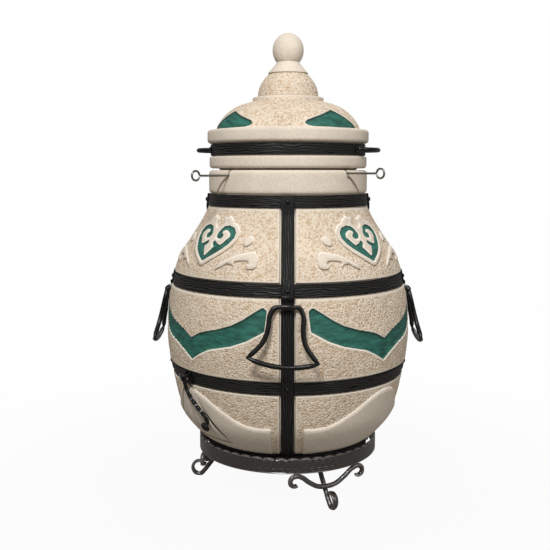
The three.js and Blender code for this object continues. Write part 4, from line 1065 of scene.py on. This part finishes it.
# The leaves seen from a little higher, for the painted shadow and highlight along their edges.
leaf_above = np.where(leaf > 1 - far, lid_ornament(co + (0, 0, shadow_reach))[0], -far)
lumps = (bumpy(co, 6.5, 4) * 0.6 + bumpy(co, 20, 5) * 0.4) * ramp(-smooth, -2, 3)
push = (smooth < far - 1) * (1.0 * ramp(leaf, -6, -3) - 3.0 * ramp(leaf, -1, 1.6)) + lumps
wider = 1 + 0.75 * push / polar(co)[0]
put_points(lid_bm, np.column_stack([co[:, 0] * wider, co[:, 1] * wider, co[:, 2] + 0.66 * push]))
lid = finish_piece("clay_lid", lid_bm, clay, "lid", ["lid"], lid_turn, 50)
mark_clay(lid, smooth, leaf, -far, leaf_above, -far, 1.2)


# Lid band and its two handles: the same strip in the groove between the flanges, and bows of round bar
# whose flat feet are bolted to it.

lid_band_low, lid_band_high, lid_handle_bar, lid_handle_reach, lid_handle_angle = 847.8, 875.8, 11, 228, 21
lid_band_middle = (lid_band_low + lid_band_high) / 2
lid_handle_shares = ((1, 0), (0.97, 0.3), (0.8, 0.68), (0.45, 0.94), (0, 1))
foot_size, foot_bolt, foot_bolt_up, foot_bolt_out = (26, 3, 16), (2.8, 2.4), 4.2, 8.6

lid_band = finish_piece("lid_hoop", hoop(lambda z: groove + gap, lid_band_low, lid_band_high), emboss, "lid",
                        ["lid_band"], lid_turn)
co = read_points(lid_band.data) * 1000
mark_strip(lid_band, np.radians(polar(co)[1]) * groove, co[:, 2] - lid_band_middle, 870)


def lid_handle():
    angle, foot_face = math.radians(lid_handle_angle), groove + steel + 2 * gap
    root = foot_face + foot_size[1] / 2
    side, ahead = root * math.sin(angle), root * math.cos(angle)
    half = [(across * side, -ahead - out * (lid_handle_reach - ahead), lid_band_middle)
            for across, out in lid_handle_shares]
    whole = bar(through(half + [(-x, y, z) for x, y, z in half[-2::-1]], 60), lid_handle_bar, (0, 0, 1))
    fixings = []
    for sign in (-1, 1):
        foot = bmesh.new()
        bmesh.ops.create_cube(foot, size=1, matrix=Matrix.Translation((0, -root, lid_band_middle))
                              @ Matrix.Diagonal((*foot_size, 1)))
        bmesh.ops.bevel(foot, geom=foot.edges[:], offset=0.7, affect="EDGES", segments=2, profile=0.5,
                        material=-1)
        turn(foot, sign * lid_handle_angle)
        whole = cut(whole, foot, "UNION")
        for up in (-foot_bolt_up, foot_bolt_up):
            fixings.append(bolt_on(lambda z: foot_face + foot_size[1] - gap, lid_band_middle + up, *foot_bolt,
                                   sign * foot_bolt_out))
            turn(fixings[-1], sign * lid_handle_angle)
    return joined([whole] + fixings)


for side, azimuth in (("right", 90), ("left", 270)):
    finish_piece(f"lid_bow_{side}", lid_handle(), black_bar, "lid", [f"lid_handle_{side}"],
                 azimuth + lid_turn)


# Finial cap: a clay stopper that closes the vent, thrown on the wheel and loose in it: a rough cone, a lip,
# a flared neck and a smoothed ball.

cap_z, cap_height, ball_radius, ball_rise = lid_top + gap, 159, 39, 42.9
spigot_radius, spigot_length, spigot_edge, cap_rough_top = 46.5, 36, 7, 57
cone_shape = ((75.2, 0.6), (76.3, 3), (75.8, 8), (74.2, 17), (68.8, 32), (59, 46), (50.5, 56))
lip_shape = ((46.8, 57.4), (46.9, 58.8), (49.6, 59.2), (50.1, 60.3), (49.2, 61.9))
neck_shape = ((47.6, 63.6), (40.5, 71.5), (33, 80), (29.4, 86), (28.6, 89.5))


def cap_profile():
    low, ball_z = cap_z - spigot_length, cap_z + cap_height - ball_rise
    rows = [(0, low), (spigot_radius - spigot_edge, low), (spigot_radius, low + spigot_edge),
            (spigot_radius, cap_z), (70, cap_z)]
    for curve in (through(cone_shape, 34), lip_shape, through(neck_shape, 16)):
        rows += [(float(r), cap_z + float(z)) for r, z in curve]
    rows += [(ball_radius * math.cos(a), ball_z + ball_rise * math.sin(a))
             for a in np.radians(np.linspace(-40, 90, 32))]
    rows[-1] = (0, rows[-1][1])
    return rows


cap_bm = spin(cap_profile(), 192)
co = read_points(cap_bm)
cap_smooth = np.maximum(co[:, 2] - cap_z - cap_rough_top, cap_z + 3 - co[:, 2])
lumps = (bumpy(co, 6, 7) * 0.6 + bumpy(co, 16, 8) * 0.4) * ramp(-cap_smooth, 0, 3)
for vert, lump in zip(cap_bm.verts, lumps):
    vert.co += Vector((vert.co.x, vert.co.y, 0)).normalized() * lump * 0.8
cap = finish_piece("clay_cap", cap_bm, clay, "cap", ["finial_cap"], lid_turn, 50)
mark_clay(cap, cap_smooth)


# Stand: a ring of flat bar stamped with short dashes like brickwork, its top edge hammered to scallops;
# three arms in it carry the vessel, three bows hang under it, and three bars run down past the bows to
# scrolled feet. All welded.

ring_outer, ring_thick, ring_low, ring_high = 231, 6, 93, 131
ring_length = 2 * math.pi * ring_outer
ring_columns, stamp_depth, scallops, scallop_depth = 720, 0.7, 48, 2.4
dash_pitch, dash_half, row_pitch, row_half = 18, 7.2, 5.2, 1.5
leg_azimuths = (27, 147, 267)
leg_bar, bow_bar, foot_reach, scroll_radius, foot_flat = 12, 12, 236, 18, 3
bow_reach, bow_half, bow_dip, bow_curl = 212, 83, 38, 20
bow_shares = ((0, 0), (0.3, 0.09), (0.6, 0.47), (0.82, 0.85), (1, 1))


def forged_steel():
    """Forged mild steel, wire-brushed and waxed: dark brown scale in the hollows of the hammer marks,
    bright on what stands proud."""
    material, tree, surface = new_material("forged mild steel, brushed and waxed")
    place = own_place(tree)
    dents = add(tree, "ShaderNodeTexVoronoi", {"Vector": place, "Scale": 1 / 0.011}, feature="SMOOTH_F1")
    scale, patches = grain(tree, place, 0.0025, 4), grain(tree, place, 0.045, 3)
    worn = span(tree, add(tree, "ShaderNodeNewGeometry").outputs["Pointiness"], 0.52, 0.6)
    brown = mix(tree, scale, mix(tree, patches, "#1a1614", "#332c28"), "#272220")
    relief = calc(tree, "MULTIPLY_ADD", scale, 0.25, dents)
    wire(surface, {"Base Color": mix(tree, worn, brown, "#a6a29d"), "Metallic": 0.15,
                   "Specular IOR Level": 0.8, "Coat Weight": 0.4, "Coat Roughness": 0.18,
                   "Roughness": span(tree, scale, 0, 1, 0.22, 0.4),
                   "Normal": bump(tree, relief, 0.5, 0.0012)})
    return material


forged = forged_steel()


def stamped(along, up):
    """The brickwork stamp: rows of dashes, each row shifted by a quarter of the pitch, in blocks of
    three."""
    row = np.floor(up / row_pitch)
    x = along + np.floor(row / 3) * dash_pitch / 2 + (row % 2) * dash_pitch / 4
    dash = np.abs((x / dash_pitch) % 1 - 0.5) * dash_pitch
    line = np.abs((up / row_pitch) % 1 - 0.5) * row_pitch
    return ramp(dash_half - dash, -0.6, 0.6) * ramp(row_half - line, -0.7, 0.7)


def stamped_ring():
    """The ring: its outer face sunk but for the stamp's dashes, its top edge drawn in and down between
    scallops."""
    inner = ring_outer - ring_thick
    rows = [(inner, ring_low), (ring_outer - 1, ring_low)]
    rows += [(ring_outer, z) for z in np.linspace(ring_low + 1, ring_high - 2.4, 36)]
    rows += [(ring_outer - 1.2, ring_high - 0.9), (ring_outer - 2.6, ring_high), (inner + 1, ring_high),
             (inner, ring_high - 1.2)]
    bm = spin(rows, ring_columns, closed=True)
    co = read_points(bm)
    z = co[:, 2]
    radius, azimuth = polar(co)
    along = np.radians(azimuth % 360) * ring_outer
    on_face = (radius > ring_outer - 0.2) & (z > ring_low + 2) & (z < ring_high - 4)
    depth = stamp_depth * (1 - stamped(along * 80 * dash_pitch / ring_length, z - ring_low - 3)) * on_face
    scallop = np.abs(np.sin(along / ring_length * scallops * math.pi))
    top = ramp(z, ring_high - 5, ring_high - 0.5)
    share = (radius - depth - 1.1 * top * (1 - scallop) * (radius > ring_outer - 3)) / radius
    lowered = z - scallop_depth * top * (1 - scallop ** 0.8)
    put_points(bm, np.column_stack([co[:, 0] * share, co[:, 1] * share, lowered]))
    return bm


finish_piece("hammered_ring", stamped_ring(), forged, "stand", ["stand_ring"], 0, 30)
recoat("stand_spider", forged)

leg_top = base_z - gap - 5.7 - gap
bow_top = ring_low - gap - bow_bar / 2
bow_low = bow_top - bow_dip
leg_slope = math.radians(55)
leg_at_bow = bow_reach - ((leg_bar + bow_bar) / 2 + gap * 2) / math.sin(leg_slope)


def hammered(bm, seed, amount=0.35, size=9):
    """Leaves the dents of the hammer in a bar."""
    lumps = bumpy(read_points(bm), size, seed)
    bm.normal_update()
    for vert, lump in zip(bm.verts, lumps):
        vert.co += vert.normal * float(lump) * amount
    return bm


def stand_leg(seed):
    """A bar from under the ring down past the bow, ending in a flattened scroll that stands on the
    ground."""
    scroll_z = leg_bar / 2 + scroll_radius - foot_flat
    below = leg_top - leg_bar
    line = [(leg_at_bow + (bow_low - level) / math.tan(leg_slope), z) for level, z in (
        (below, leg_top), (below, leg_top - leg_bar / 2), (bow_low + leg_bar * 2, bow_low + leg_bar * 2),
        (bow_low, bow_low), (bow_low - leg_bar, bow_low - leg_bar))]
    line += arc((foot_reach, scroll_z), scroll_radius, -100, 128, 12)
    path = through([(0, -r, z) for r, z in line], 120, 0.5)
    ends = [(leg_bar + 5 * end, leg_bar - 4 * end) for end in ramp(np.linspace(0, 1, 120), 0.45, 0.8)]
    bm = hammered(bar(path, ends, (1, 0, 0), 18), seed)
    bmesh.ops.bisect_plane(bm, geom=bm.verts[:] + bm.edges[:] + bm.faces[:], plane_co=(0, 0, 0),
                           plane_no=(0, 0, 1), clear_inner=True)
    bmesh.ops.holes_fill(bm, edges=[edge for edge in bm.edges if edge.is_boundary], sides=0)
    return outward(bm)


def stand_bow(seed):
    """A bow hanging under the ring, its ends curled up and hammered flat."""
    curl = bow_curl / 2
    half = [(across * bow_half, bow_low + up * bow_dip) for across, up in bow_shares]
    half += arc((bow_half + curl / 2, bow_top - curl * 1.2), curl * 1.2, 60, -115, 8)
    knots = [(-x, -bow_reach, z) for x, z in half[:0:-1]] + [(x, -bow_reach, z) for x, z in half]
    widths = []
    for s in np.linspace(0, 1, 150):
        end = min(max((abs(s * 2 - 1) - 0.8) / 0.2, 0), 1)
        widths.append((bow_bar + (17 - bow_bar) * end ** 1.3, bow_bar + (8 - bow_bar) * end))
    bm = hammered(bar(through(knots, 150, 0.5), widths, (0, 1, 0), 18), seed)
    top = max(v.co.z for v in bm.verts)
    bmesh.ops.translate(bm, vec=(0, 0, ring_low - gap - top), verts=bm.verts)
    return bm


for number, azimuth in enumerate(leg_azimuths, 1):
    for name, part, node in (("scroll_leg", stand_leg(10 + number), "stand_leg"),
                             ("fishtail_bow", stand_bow(20 + number), "stand_bow")):
        finish_piece(f"{name}_{number}", part, forged, "stand", [f"{node}_{number}"], azimuth)
